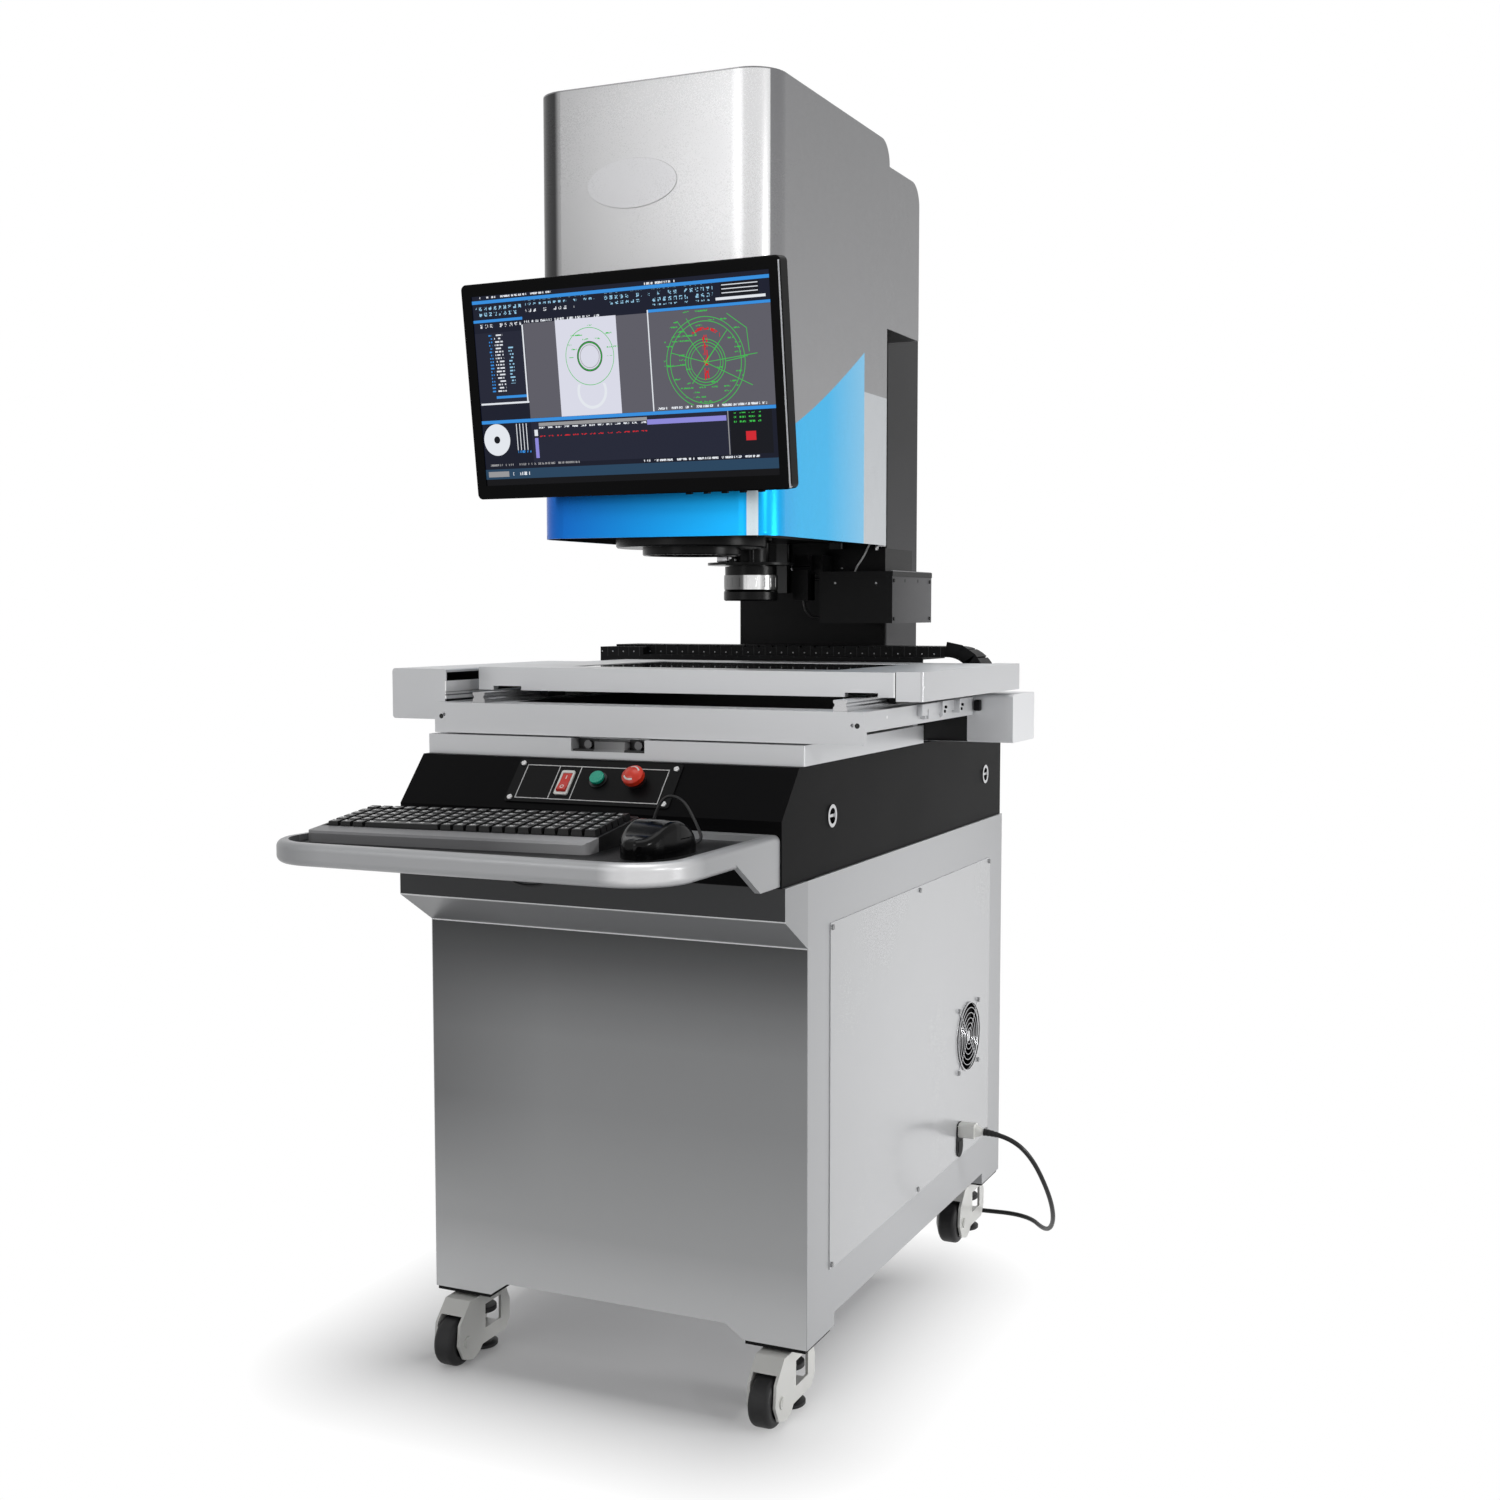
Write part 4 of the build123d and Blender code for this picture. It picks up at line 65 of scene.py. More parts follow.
def layCord(name, route, radius, body, replaced, **facts):
    curve = bpy.data.curves.new(name, "CURVE")
    curve.dimensions = "3D"
    # the thickness is set at the points, because the curve's bounds count their radius
    curve.bevel_depth = 1.0
    curve.bevel_resolution = 3
    curve.resolution_u = 10
    curve.use_fill_caps = True
    spline = curve.splines.new("NURBS")
    spline.points.add(len(route) - 1)
    for point, place in zip(spline.points, route):
        point.co = (*place, 1)
        point.radius = radius
    spline.order_u = 3
    spline.use_endpoint_u = True
    cord = bpy.data.objects.new(name, curve)
    bpy.context.scene.collection.objects.link(cord)
    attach(cord, body)
    if replaced:
        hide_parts(*replaced)
    return cord


keyboardRoute = [
    (-0.1357, -0.3995, 0.828), (-0.1395, -0.364, 0.831), (-0.1355, -0.358, 0.739), (-0.0775, -0.346, 0.731),
    (-0.0545, -0.346, 0.766), (-0.0535, -0.314, 0.771),
]
mouseRoute = [
    (0.1908, -0.4472, 0.8155), (0.1988, -0.4132, 0.816), (0.1705, -0.374, 0.833), (0.1405, -0.356, 0.866),
    (0.1065, -0.353, 0.867), (0.0925, -0.364, 0.803), (0.0935, -0.363, 0.767), (0.0925, -0.320, 0.771),
]
mainsRoute = [
    (0.3173, 0.417, 0.238), (0.353, 0.418, 0.237), (0.393, 0.435, 0.204), (0.413, 0.489, 0.120),
    (0.401, 0.563, 0.0502), (0.367, 0.639, 0.0042), (0.311, 0.715, 0.0042), (0.2095, 0.703, 0.0042),
]
coil = {
    "x": 0.1175, "y": 0.739, "points": 16, "short": 4, "ease": (0.78, 0.22),
    "turns": [(40.7, 4.2), (32.5, 4.2), (32.5, 12.3), (40.7, 12.3), (40.7, 20.4), (32.5, 20.4)],
    "tail": [
        (0.0330, -0.0010, 0.0225), (0.0335, -0.0160, 0.0270), (0.0320, -0.0290, 0.0320), (0.0260, -0.0355, 0.0335),
        (0.0180, -0.0360, 0.0335),
    ],
}


def coilPoints(look):
    # clockwise turns seen from above, each easing into the next over its last part, then up to the plug
    points = []
    steps = look["points"]
    start, run = look["ease"]
    for index, (radius, height) in enumerate(look["turns"]):
        last = index == len(look["turns"]) - 1
        nextRadius, nextHeight = look["turns"][index if last else index + 1]
        for step in range(steps - look["short"] if last else steps):
            ease = max(0.0, (step / steps - start) / run)
            ring = radius + (nextRadius - radius) * ease
            level = height + (nextHeight - height) * ease
            angle = -math.pi / 2 - 2 * math.pi * step / steps
            points.append((
                look["x"] + ring / 1000 * math.cos(angle), look["y"] + ring / 1000 * math.sin(angle), level / 1000,
            ))
    return points + [(look["x"] + x, look["y"] + y, z) for x, y, z in look["tail"]]


wholeRoute = mainsRoute + coilPoints(coil)
keyboardCord = layCord(
    "keyboardCord", keyboardRoute, 0.0021, "machine", ["keyboard_cord"],
    length=0.222, far_end="object", stiffness="medium", lay="hanging",
)
mouseCord = layCord(
    "mouseCord", mouseRoute, 0.0021, "machine", ["mouse_cord"],
    length=0.3, far_end="object", stiffness="medium", lay="loose",
)
mainsCord = layCord(
    "mainsCord", wholeRoute, 0.004, "machine", ["power_cord", "power_cord_coil"],
    length=2.0, far_end="plug", stiffness="medium", lay="coiled", with_pieces=[nodes["power_connector"]],
)
lampRoute = [at(160, 604, 1224), at(156, 602, 1214), at(148, 601, 1197), at(135, 600, 1180), at(131, 604, 1171)]
sensorRoute = [
    at(96, 580, 1150), at(84, 576, 1162), at(66, 572, 1160), at(55, 566, 1132), at(60, 566, 1104), at(80, 572, 1094),
    at(97, 580, 1106),
]
lampCord = layCord(
    "lampCord", lampRoute, 0.0016, "machine", [],
    length=0.061, far_end="object", stiffness="medium", lay="loose",
)
sensorCord = layCord(
    "sensorCord", sensorRoute, 0.0024, "machine", [],
    length=0.132, far_end="object", stiffness="medium", lay="loose",
)
print("cords laid")


class Wire:
    # one socket, usable in a sum or product, which adds its Math nodes
    def __init__(self, shade, socket):
        self.shade = shade
        self.socket = socket

    def step(self, operation, *others, clamp=False):
        inputs = {0: self}
        for index, other in enumerate(others):
            inputs[index + 1] = other
        return self.shade.node("ShaderNodeMath", {"operation": operation, "use_clamp": clamp}, inputs)

    def turned(self, operation, other):
        # the other value comes first
        return self.shade.node("ShaderNodeMath", {"operation": operation}, {0: other, 1: self})

    def __add__(self, other): return self.step("ADD", other)
    def __radd__(self, other): return self.step("ADD", other)
    def __sub__(self, other): return self.step("SUBTRACT", other)
    def __rsub__(self, other): return self.turned("SUBTRACT", other)
    def __mul__(self, other): return self.step("MULTIPLY", other)
    def __rmul__(self, other): return self.step("MULTIPLY", other)
    def __truediv__(self, other): return self.step("DIVIDE", other)
    def __rtruediv__(self, other): return self.turned("DIVIDE", other)
    def __gt__(self, other): return self.step("GREATER_THAN", other)
    def __lt__(self, other): return self.step("LESS_THAN", other)
    def __abs__(self): return self.step("ABSOLUTE")
    def either(self, other): return self.step("MAXIMUM", other)
    def floor(self): return self.step("FLOOR")
    def rest(self): return self.step("FRACT")
    def clamp(self): return self.step("ADD", 0.0, clamp=True)

    def ramp(self, start, width):
        # 0 below start, 1 a width further on
        return (self - start).step("DIVIDE", width, clamp=True)

    def between(self, low, high):
        return (self > low) * (self < high)


class Tree:
    # a node tree and the tool that adds its nodes
    def __init__(self, tree):
        self.tree = tree

    def node(self, kind, settings=None, inputs=None, output=0):
        item = self.tree.nodes.new(kind)
        for key, value in (settings or {}).items():
            if key == "stops":
                for index, (position, colour) in enumerate(value):
                    stop = item.color_ramp.elements[index] if index < 2 else item.color_ramp.elements.new(position)
                    stop.position = position
                    stop.color = (*colour, 1)
            else:
                setattr(item, key, value)
        for key, value in (inputs or {}).items():
            if isinstance(value, Wire):
                self.tree.links.new(value.socket, item.inputs[key])
            else:
                item.inputs[key].default_value = value
        return Wire(self, item.outputs[output])


class Shade(Tree):
    # one material and the tools that fill its tree
    def __init__(self, name, **sockets):
        self.material = bpy.data.materials.new(name)
        self.material.use_nodes = True
        super().__init__(self.material.node_tree)
        self.bsdf = self.tree.nodes["Principled BSDF"]
        for key, value in sockets.items():
            self.bsdf.inputs[key.replace("_", " ")].default_value = value

    def place(self, origin=(0.0, 0.0, 0.0), turn=(0.0, 0.0, 0.0)):
        # millimetres from a point, along a piece's own directions
        spot = self.node("ShaderNodeTexCoord", output="Object")
        return self.node("ShaderNodeMapping", {"vector_type": "TEXTURE"}, {
            "Vector": spot, "Location": tuple(origin), "Rotation": tuple(turn), "Scale": (0.001, 0.001, 0.001),
        })

    def parts(self, vector):
        split = self.tree.nodes.new("ShaderNodeSeparateXYZ")
        self.tree.links.new(vector.socket, split.inputs[0])
        return [Wire(self, split.outputs[index]) for index in range(3)]

    def axes(self, origin=at(0, 0, 0), turn=(0.0, 0.0, 0.0)):
        # the three measures in millimetres, from the cabinet where no point is given
        return self.parts(self.place(origin, turn))

    def stretch(self, vector, scale):
        return self.node("ShaderNodeVectorMath", {"operation": "MULTIPLY"}, {0: vector, 1: scale})

    def noise(self, vector, scale, detail=2.0, roughness=0.5):
        return self.node("ShaderNodeTexNoise", None, {
            "Vector": vector, "Scale": scale, "Detail": detail, "Roughness": roughness,
        })

    def mix(self, factor, a, b):
        return self.node("ShaderNodeMix", {"data_type": "RGBA"}, {0: factor, 6: a, 7: b}, 2)

    def colour(self, value):
        self.link("Base Color", value)

    def link(self, socket, value):
        self.tree.links.new(value.socket, self.bsdf.inputs[socket])

    def bump(self, height, micrometres):
        self.link("Normal", self.node("ShaderNodeBump", None, {"Height": height, "Distance": micrometres / 1e6}))

    def upward(self):
        # 1 on faces that look up
        normal = self.node("ShaderNodeNewGeometry", output="Normal")
        return self.parts(normal)[2]


def tone(red, green, blue):
    # a screen colour from 0 to 255 as the light that a shader works with
    shares = (red / 255, green / 255, blue / 255)
    return tuple(c / 12.92 if c <= 0.04045 else ((c + 0.055) / 1.055) ** 2.4 for c in shares) + (1,)


def grey(level, lift=0):
    # a grey, its blue lifted by a few steps
    return tone(level, level, level + lift)


def shaded(colour, amount):
    return tuple(c * amount for c in colour[:3]) + (1,)


def gradient(shade, greys, share, tint=(0, 0, 0)):
    # greys at their shares of a run, each colour lifted by the tint
    stops = [(spot, tone(*(level + lift for lift in tint))[:3]) for spot, level in greys]
    return shade.node("ShaderNodeValToRGB", {"stops": stops}, {"Fac": share})


def varied(shade, look, share):
    # the colour wanders a little to both sides of its tone
    low, high = shaded(look["colour"], 1 - look["change"]), shaded(look["colour"], 1 + look["change"])
    shade.colour(shade.mix(share.clamp(), low, high))


def sprayed(name, look):
    # sprayed paint: fine orange peel, faint clouding, small changes of gloss
    shade = Shade(
        name, Metallic=look.get("metallic", 0.0), Coat_Weight=look.get("coat", 0.0), Coat_Roughness=0.12,
        Specular_IOR_Level=look.get("shine", 0.5),
    )
    spot = shade.place()
    cloud = shade.noise(spot, 0.004, 3.0)
    peel = shade.noise(spot, look["peel"], 3.0, 0.6)
    dust = shade.noise(spot, look["peel"] * 3.1, 1.0)
    varied(shade, look, cloud * 0.7 + dust * 0.3)
    shade.link("Roughness", cloud * 0.08 + peel * 0.06 + (look["roughness"] - 0.07))
    shade.bump(peel, look["relief"])
    return shade


def brushed(name, look):
    # metal with fine lines along one direction
    shade = Shade(name, Metallic=look.get("metallic", 0.0), Specular_IOR_Level=look.get("shine", 0.5))
    spot = shade.place()
    lines = shade.noise(shade.stretch(spot, look["lines"]), 1.0, 4.0, 0.65)
    cloud = shade.noise(spot, 0.006, 2.0)
    varied(shade, look, lines * 0.6 + cloud * 0.4)
    shade.link("Roughness", lines * 0.12 + cloud * 0.06 + (look["roughness"] - 0.09))
    shade.bump(lines, look["relief"])
    return shade


def moulded(name, look):
    # moulded plastic: eroded grain and faint handling marks
    shade = Shade(
        name, Coat_Weight=look.get("coat", 0.0), Coat_Roughness=0.08, Specular_IOR_Level=look.get("shine", 0.5),
    )
    spot = shade.place()
    grain = shade.noise(spot, look["grain"], 2.0, 0.6)
    hands = shade.noise(spot, 0.02, 3.0)
    varied(shade, look, hands * 0.6 + grain * 0.4)
    shade.link("Roughness", hands * 0.12 + grain * 0.05 + (look["roughness"] - 0.08))
    shade.bump(grain, look["relief"])
    return shade


def dress(shade, *names):
    for name in names:
        nodes[name].material_slots[0].material = shade.material


def overlay(shade, mask, colour):
    # paints a masked area over the finish
    ground = Wire(shade, shade.bsdf.inputs["Base Color"].links[0].from_socket)
    shade.colour(shade.mix(mask, ground, colour))


def inBox(axes, low, high):
    mask = axes[0].between(low[0], high[0])
    return mask * axes[1].between(low[1], high[1]) * axes[2].between(low[2], high[2])


def distance(a, b):
    return (a * a + b * b).step("SQRT")


def dotted(shade, where, across, along, spots, radius, colour):
    # small round marks in one plane, inside a mask
    for spotAcross, spotAlong in spots:
        away = (across - spotAcross) * (across - spotAcross) + (along - spotAlong) * (along - spotAlong)
        overlay(shade, where * (away < radius * radius), colour)


# plain finishes; the relief of a surface is in micrometres, its grain and lines are waves per millimetre
silver = {"colour": tone(176, 177, 179), "metallic": 0.3, "roughness": 0.36, "peel": 0.9, "relief": 60, "change": 0.03}
panelPaint = sprayed("panelPaint", {**silver, "colour": tone(182, 183, 185), "roughness": 0.26, "coat": 0.4})
blackPaint = sprayed("blackPaint", {
    "colour": grey(12, 1), "roughness": 0.42, "peel": 1.4, "relief": 120, "change": 0.12, "shine": 0.03,
})
satinLook = {
    "colour": tone(206, 207, 209), "metallic": 0.4, "roughness": 0.36, "lines": (0.03, 2.2, 2.2), "relief": 30,
    "change": 0.03,
}
satin = brushed("satinAnodised", satinLook)
darkAnodised = brushed("darkAnodised", {
    "colour": grey(22, 1), "roughness": 0.34, "lines": (0.05, 2.0, 2.0), "relief": 30, "change": 0.1, "shine": 0.12,
})
brightSteel = brushed("brightSteel", {
    "colour": grey(196, 2), "metallic": 1.0, "roughness": 0.16, "lines": (0.6, 0.6, 3.0), "relief": 20, "change": 0.05,
})
mattLook = {"colour": grey(18, 1), "roughness": 0.48, "grain": 2.5, "relief": 60, "change": 0.15, "shine": 0.1}
mattBlack = moulded("mattBlack", mattLook)
glossBlack = moulded("glossBlack", {
    "colour": grey(7, 1), "roughness": 0.16, "grain": 0.3, "relief": 10, "change": 0.2, "shine": 0.12,
})
lensBlack = brushed("lensBlack", {
    "colour": grey(12, 1), "roughness": 0.26, "lines": (0.2, 0.2, 4.0), "relief": 30, "change": 0.2, "shine": 0.14,
})
greenPlastic = moulded("greenPlastic", {
    "colour": tone(24, 170, 140), "roughness": 0.25, "grain": 1.0, "relief": 20, "change": 0.06,
})
ivoryEnamel = sprayed("ivoryEnamel", {
    "colour": tone(226, 226, 222), "roughness": 0.34, "peel": 0.7, "relief": 50, "change": 0.03, "coat": 0.3,
})
treadRubber = moulded("treadRubber", {
    "colour": grey(34, 1), "roughness": 0.5, "grain": 1.8, "relief": 80, "change": 0.15, "shine": 0.3,
})
matRubber = moulded("matRubber", {
    "colour": grey(14, 1), "roughness": 0.4, "grain": 1.1, "relief": 100, "change": 0.2, "shine": 0.2,
})
cordRubber = moulded("cordRubber", {
    "colour": grey(18, 1), "roughness": 0.4, "grain": 1.5, "relief": 40, "change": 0.15, "shine": 0.3,
})
whiteCord = moulded("whiteCord", {
    "colour": grey(222), "roughness": 0.35, "grain": 1.5, "relief": 30, "change": 0.03,
})

dress(panelPaint, "access_panel")
dress(blackPaint, "housing", "monitor_bracket", "monitor_arm")
dress(darkAnodised, "z_carriage")
dress(brightSteel, "lift_sockets", "fan_grille")
dress(mattBlack, "fan_frame", "fan_rotor", "power_inlet", "caster_mounts")
dress(glossBlack, "mouse_body", "mouse_buttons")
dress(lensBlack, "telecentric_lens", "zoom_lens")
dress(greenPlastic, "lamp_button")
for corner in ("fl", "fr", "rl", "rr"):
    dress(ivoryEnamel, "caster_fork_" + corner)
    dress(treadRubber, "caster_wheel_" + corner, "levelling_pad_" + corner)
dress(treadRubber, "mouse_wheel")
dress(matRubber, "tray_mat")
lampCord.data.materials.append(whiteCord.material)
for cord in (keyboardCord, mouseCord, mainsCord, sensorCord):
    cord.data.materials.append(cordRubber.material)
print("plain finishes done")

# painted shade: the insides of the stages and the drive cover are blackened, from corner to corner in millimetres
insides = {
    "base_plate": [(-285, 19, 929), (285, 474, 931)],
    "x_carriage": [(-188.5, 59.5, 900), (308.5, 430.5, 980)],
    "stage_frame": [(-254.5, 97.5, 970), (378.5, 536.5, 1010.3)],
    "y_drive_cover": [(-383.5, 31, 950), (-291.8, 473, 1022)],
}
# painted shade: undersides below the stages are blackened as well
under = {
    "x_carriage": [(-300, 15, 900), (370, 500, 948.8)],
    "y_drive_cover": [(-292, 20, 976), (-285, 480, 979.1)],
}
# the black used for painted shade
paintedShadeBlack = grey(18, 1)

# top stage: a dark seam in the front with a painted highlight along its edge, and a small screw on the right
frameMarks = {
    "front": 85, "seams": [(391.6, 0.7, grey(70, 1)), (389.8, 0.8, grey(250))],
    "flank": (84, 96), "right": 430, "screws": [(90.5, 1006.5)], "radius": 1.8, "bright": grey(250),
}


def markFrame(shade, axes, look):
    x, y, z = axes
    # the dark seam, then the painted highlight beside it
    for middle, half, colour in look["seams"]:
        overlay(shade, (y < look["front"]) * (abs(x - middle) < half), colour)
    flank = y.between(*look["flank"]) * (x > look["right"])
    dotted(shade, flank, y, z, look["screws"], look["radius"], look["bright"])


# middle stage: two holes in the front and a small screw on the right
carriageMarks = {
    "front": 0.6, "holes": [(368.9, 958), (-278.8, 956)], "hole": 3.6, "dark": grey(10),
    "flank": (377.5, 378.6), "screws": [(89, 965.3)], "radius": 2.2, "bright": grey(250),
}


def markCarriage(shade, axes, look):
    x, y, z = axes
    dotted(shade, y < look["front"], x, z, look["holes"], look["hole"], look["dark"])
    dotted(shade, x.between(*look["flank"]), y, z, look["screws"], look["radius"], look["bright"])


# drive cover: its right wall painted pale, a painted light against the stage's shade, with two fine lines
wallMarks = {
    "face": -292.2, "wall": (980, 1005.6), "pale": grey(250),
    "lines": [((984.5, 986), grey(120, 1)), ((989, 990), grey(168, 1))],
}


def markWall(shade, axes, look):
    x, _, z = axes
    wall = (x > look["face"]) * z.between(*look["wall"])
    # painted light: the shaded wall lifted to pale
    overlay(shade, wall, look["pale"])
    for line, colour in look["lines"]:
        overlay(shade, wall * z.between(*line), colour)


marks = {
    "stage_frame": (markFrame, frameMarks), "x_carriage": (markCarriage, carriageMarks),
    "y_drive_cover": (markWall, wallMarks),
}
for name in insides:
    shade = brushed(name + "Finish", satinLook)
    axes = shade.axes()
    # painted shade over the insides and undersides
    for box in (insides, under):
        if name in box:
            overlay(shade, inBox(axes, *box[name]), paintedShadeBlack)
    if name in marks:
        mark, look = marks[name]
        mark(shade, axes, look)
    dress(shade, name)

# cabinet front: painted light and shade; greys at shares of its height, darker towards the top under the tray, a
# painted darker left end, painted light and shade on the slant and the nose, and painted highlights along its folds
cabinetFront = {
    "front": 30, "half": 299, "foot": 90, "tall": 620, "slant": 657, "nose": 704, "left": -298,
    "greys": [(0.01, 214), (0.1, 200), (0.2, 176), (0.5, 150), (0.66, 144), (0.75, 126), (0.85, 88), (0.91, 62)],
    "leftRun": 190, "leftShare": 0.4, "leftRise": (240, 160), "leftTone": tone(50, 51, 53),
    "slantFront": -0.5, "slantGrey": tone(160, 161, 163), "slantRun": 150, "slantShare": 0.5,
    "slantDark": tone(70, 71, 73), "noseFront": -77.5, "noseGrey": tone(34, 35, 37),
    "fold": tone(224, 225, 226), "foldFront": -76.4, "foldBelow": 1.2, "foldAbove": 1.4,
    "lowFront": 1, "lowBelow": 1.4, "lowAbove": 0.8,
}


def paintCabinetShade(look):
    shade = sprayed("cabinetPaintedShade", silver)
    x, y, z = shade.axes()
    slant, nose, left = look["slant"], look["nose"], look["left"]
    wide = abs(x) < look["half"]
    front = (y < look["front"]) * wide
    # painted shade: the front darkens towards the top under the tray
    overlay(shade, front, gradient(shade, look["greys"], z.ramp(look["foot"], look["tall"]), (0, 1, 2)))
    leftEnd = (1 - x.ramp(left, look["leftRun"])) * look["leftShare"]
    # painted shade at the left end
    overlay(shade, front * leftEnd * z.ramp(*look["leftRise"]), look["leftTone"])
    # painted light and shade on the slant and the nose
    overlay(shade, (y < look["slantFront"]) * (z > slant), look["slantGrey"])
    slantEnd = (1 - x.ramp(left, look["slantRun"])) * look["slantShare"]
    overlay(shade, (y < look["slantFront"]) * z.between(slant, nose) * slantEnd, look["slantDark"])
    overlay(shade, (y < look["noseFront"]) * (z > nose), look["noseGrey"])
    # painted highlights along the folds
    noseFold = z.between(nose - look["foldBelow"], nose + look["foldAbove"])
    overlay(shade, (y < look["foldFront"]) * noseFold, look["fold"])
    slantFold = z.between(slant - look["lowBelow"], slant + look["lowAbove"])
    overlay(shade, (y < look["lowFront"]) * slantFold * wide, look["fold"])
    return shade


# tray: painted shade darkens the rim at its left end and a painted highlight brightens it round its right front corner
trayPaint = {
    "front": -330, "left": (-293, 110), "leftShare": 0.7, "leftTone": tone(96, 97, 99),
    "right": (205, 38), "behind": (-385, 85), "rim": (792, 6), "rightTone": grey(252, 1),
}


def paintTrayLight(look):
    shade = sprayed("trayFinish", silver)
    x, y, z = shade.axes()
    # painted shade at the left end, then a painted highlight round the right front corner
    overlay(shade, (y < look["front"]) * (1 - x.ramp(*look["left"])) * look["leftShare"], look["leftTone"])
    corner = x.ramp(*look["right"]) * (1 - y.ramp(*look["behind"]))
    overlay(shade, corner * z.ramp(*look["rim"]), look["rightTone"])
    return shade


# x drive cover: pale box at the right end, its colour lightened as painted light, the rest of its front painted black
# as shade under the stages
coverPaint = {**satinLook, "colour": tone(232, 233, 235), "right": 367, "front": 482.5}


def paintCoverLight(look):
    shade = brushed("coverPaintedLight", look)
    x, y = shade.axes()[:2]
    # painted shade: the front left of the box is painted black
    overlay(shade, (x < look["right"]) * (y < look["front"]), paintedShadeBlack)
    return shade


# stage rails: bright, with the faces that look to the front a darker grey
guideLook = {
    "colour": tone(190, 191, 193), "metallic": 0.9, "roughness": 0.28, "lines": (2.5, 0.03, 2.5), "relief": 20,
    "change": 0.06, "facing": -0.9, "end": grey(158, 1),
}


def finishGuides(look):
    shade = brushed("guideFinish", look)
    facing = shade.parts(shade.node("ShaderNodeNewGeometry", output="Normal"))[1]
    overlay(shade, facing < look["facing"], look["end"])
    return shade


# cable chain: black links, a paler line at each joint as a painted highlight on the link edges, and a pin in each
# painted pale as its glint
chainLook = {
    **mattLook, "pitch": 21.0, "front": 629, "band": (1030, 1051), "joint": 0.05, "jointTone": grey(62, 1),
    "pinHeight": 1038, "pinSquare": 1.6, "pinTone": grey(190, 1),
}


def finishChainAndGlints(look):
    shade = moulded("chainFinishAndGlints", look)
    x, y, z = shade.axes()
    along = (x / look["pitch"]).rest()
    face = (y < look["front"]) * z.between(*look["band"])
    # painted highlight at each joint, then a painted glint on each pin
    overlay(shade, face * (along < look["joint"]), look["jointTone"])
    aside, above = (along - 0.5) * look["pitch"], z - look["pinHeight"]
    overlay(shade, face * ((aside * aside + above * above) < look["pinSquare"]), look["pinTone"])
    return shade


# fixed rails: those on the column are painted black as shade, those on the base plate stay bright
railLook = {
    "colour": tone(190, 191, 193), "metallic": 0.4, "roughness": 0.3, "lines": (0.03, 2.5, 2.5), "relief": 20,
    "change": 0.06, "column": 1100, "black": grey(26, 1),
}


def paintRailShade(look):
    shade = brushed("railPaintedShade", look)
    # painted shade: the column's rails are blackened
    overlay(shade, shade.axes()[2] > look["column"], look["black"])
    return shade


# screws: white heads on the control board, grey ones on the lock bracket, zinc on the cabinet
screwLook = {
    "colour": tone(150, 151, 152), "metallic": 0.4, "roughness": 0.36, "lines": (0.8, 0.8, 0.8), "relief": 40,
    "change": 0.12,
    "areas": [
        ((-140, -85, 830), (140, -15, 901), grey(226)), ((-60, -10, 904), (60, 30, 935), grey(104, 1)),
    ],
}


def finishScrews(look):
    shade = brushed("screwFinish", look)
    axes = shade.axes()
    for low, high, colour in look["areas"]:
        overlay(shade, inBox(axes, low, high), colour)
    return shade


# lock bracket: grey raised middle between dark ends, the middle graded lighter to the right as a painted sheen
lockLook = {
    "colour": grey(30, 1), "roughness": 0.32, "lines": (0.05, 2.0, 2.0), "relief": 30, "change": 0.1, "shine": 0.3,
    "half": 24.2, "run": (-24, 48), "left": grey(104, 1), "right": grey(160, 1),
}


def finishLockAndSheen(look):
    shade = brushed("lockFinishAndSheen", look)
    x = shade.axes()[0]
    # painted sheen: the middle is graded from left to right
    overlay(shade, abs(x) < look["half"], shade.mix(x.ramp(*look["run"]), look["left"], look["right"]))
    return shade


# switch bodies: white round the rocker, dark collars under the round buttons
bezelLook = {
    "colour": tone(232, 232, 228), "roughness": 0.35, "grain": 1.5, "relief": 30, "change": 0.03,
    "rocker": -15, "collar": grey(20, 1),
}


def finishBezels(look):
    shade = moulded("bezelFinish", look)
    overlay(shade, shade.axes()[0] > look["rocker"], look["collar"])
    return shade


# plugs: white bodies, bright pins on the wall plug
plugLook = {
    "colour": tone(226, 226, 222), "roughness": 0.38, "grain": 1.5, "relief": 30, "change": 0.03,
    "pins": [(-60, -60, 0), (-18.05, 0, 60)], "brass": tone(186, 176, 140),
}


def finishPlugs(look):
    shade = moulded("plugFinish", look)
    pins = inBox(shade.axes((coil["x"], coil["y"], 0.0)), *look["pins"])
    overlay(shade, pins, look["brass"])
    shade.link("Metallic", pins)
    return shade


# side box: dark front, its right side painted greyer and lighter towards the rear as painted light, a painted
# highlight on the lid edge, with screws on each face
sideBoxLook = {
    "colour": grey(13, 1), "roughness": 0.36, "peel": 1.4, "relief": 100, "change": 0.12, "shine": 0.1,
    "right": 220.5, "flank": (1088, 1164), "run": (540, 190), "near": grey(58, 2), "far": grey(104, 2),
    "lidRight": 218, "lid": 1172.4, "lidTone": grey(150, 2), "front": 541, "tower": (600, 603),
    "frontScrews": ([(122.2, 1153.8), (193.2, 1153.3)], 1.8, grey(210, 1)),
    "towerScrews": [([(88.4, 1183.3)], 3.0, grey(226, 1)), ([(109.9, 1179)], 1.6, grey(170, 1))],
    "sideRight": 220, "sideScrews": (
        [(547, 1096), (724, 1096), (547, 1157.5), (724, 1157.5), (600, 1158), (664, 1158)], 3.2, grey(10),
    ),
}


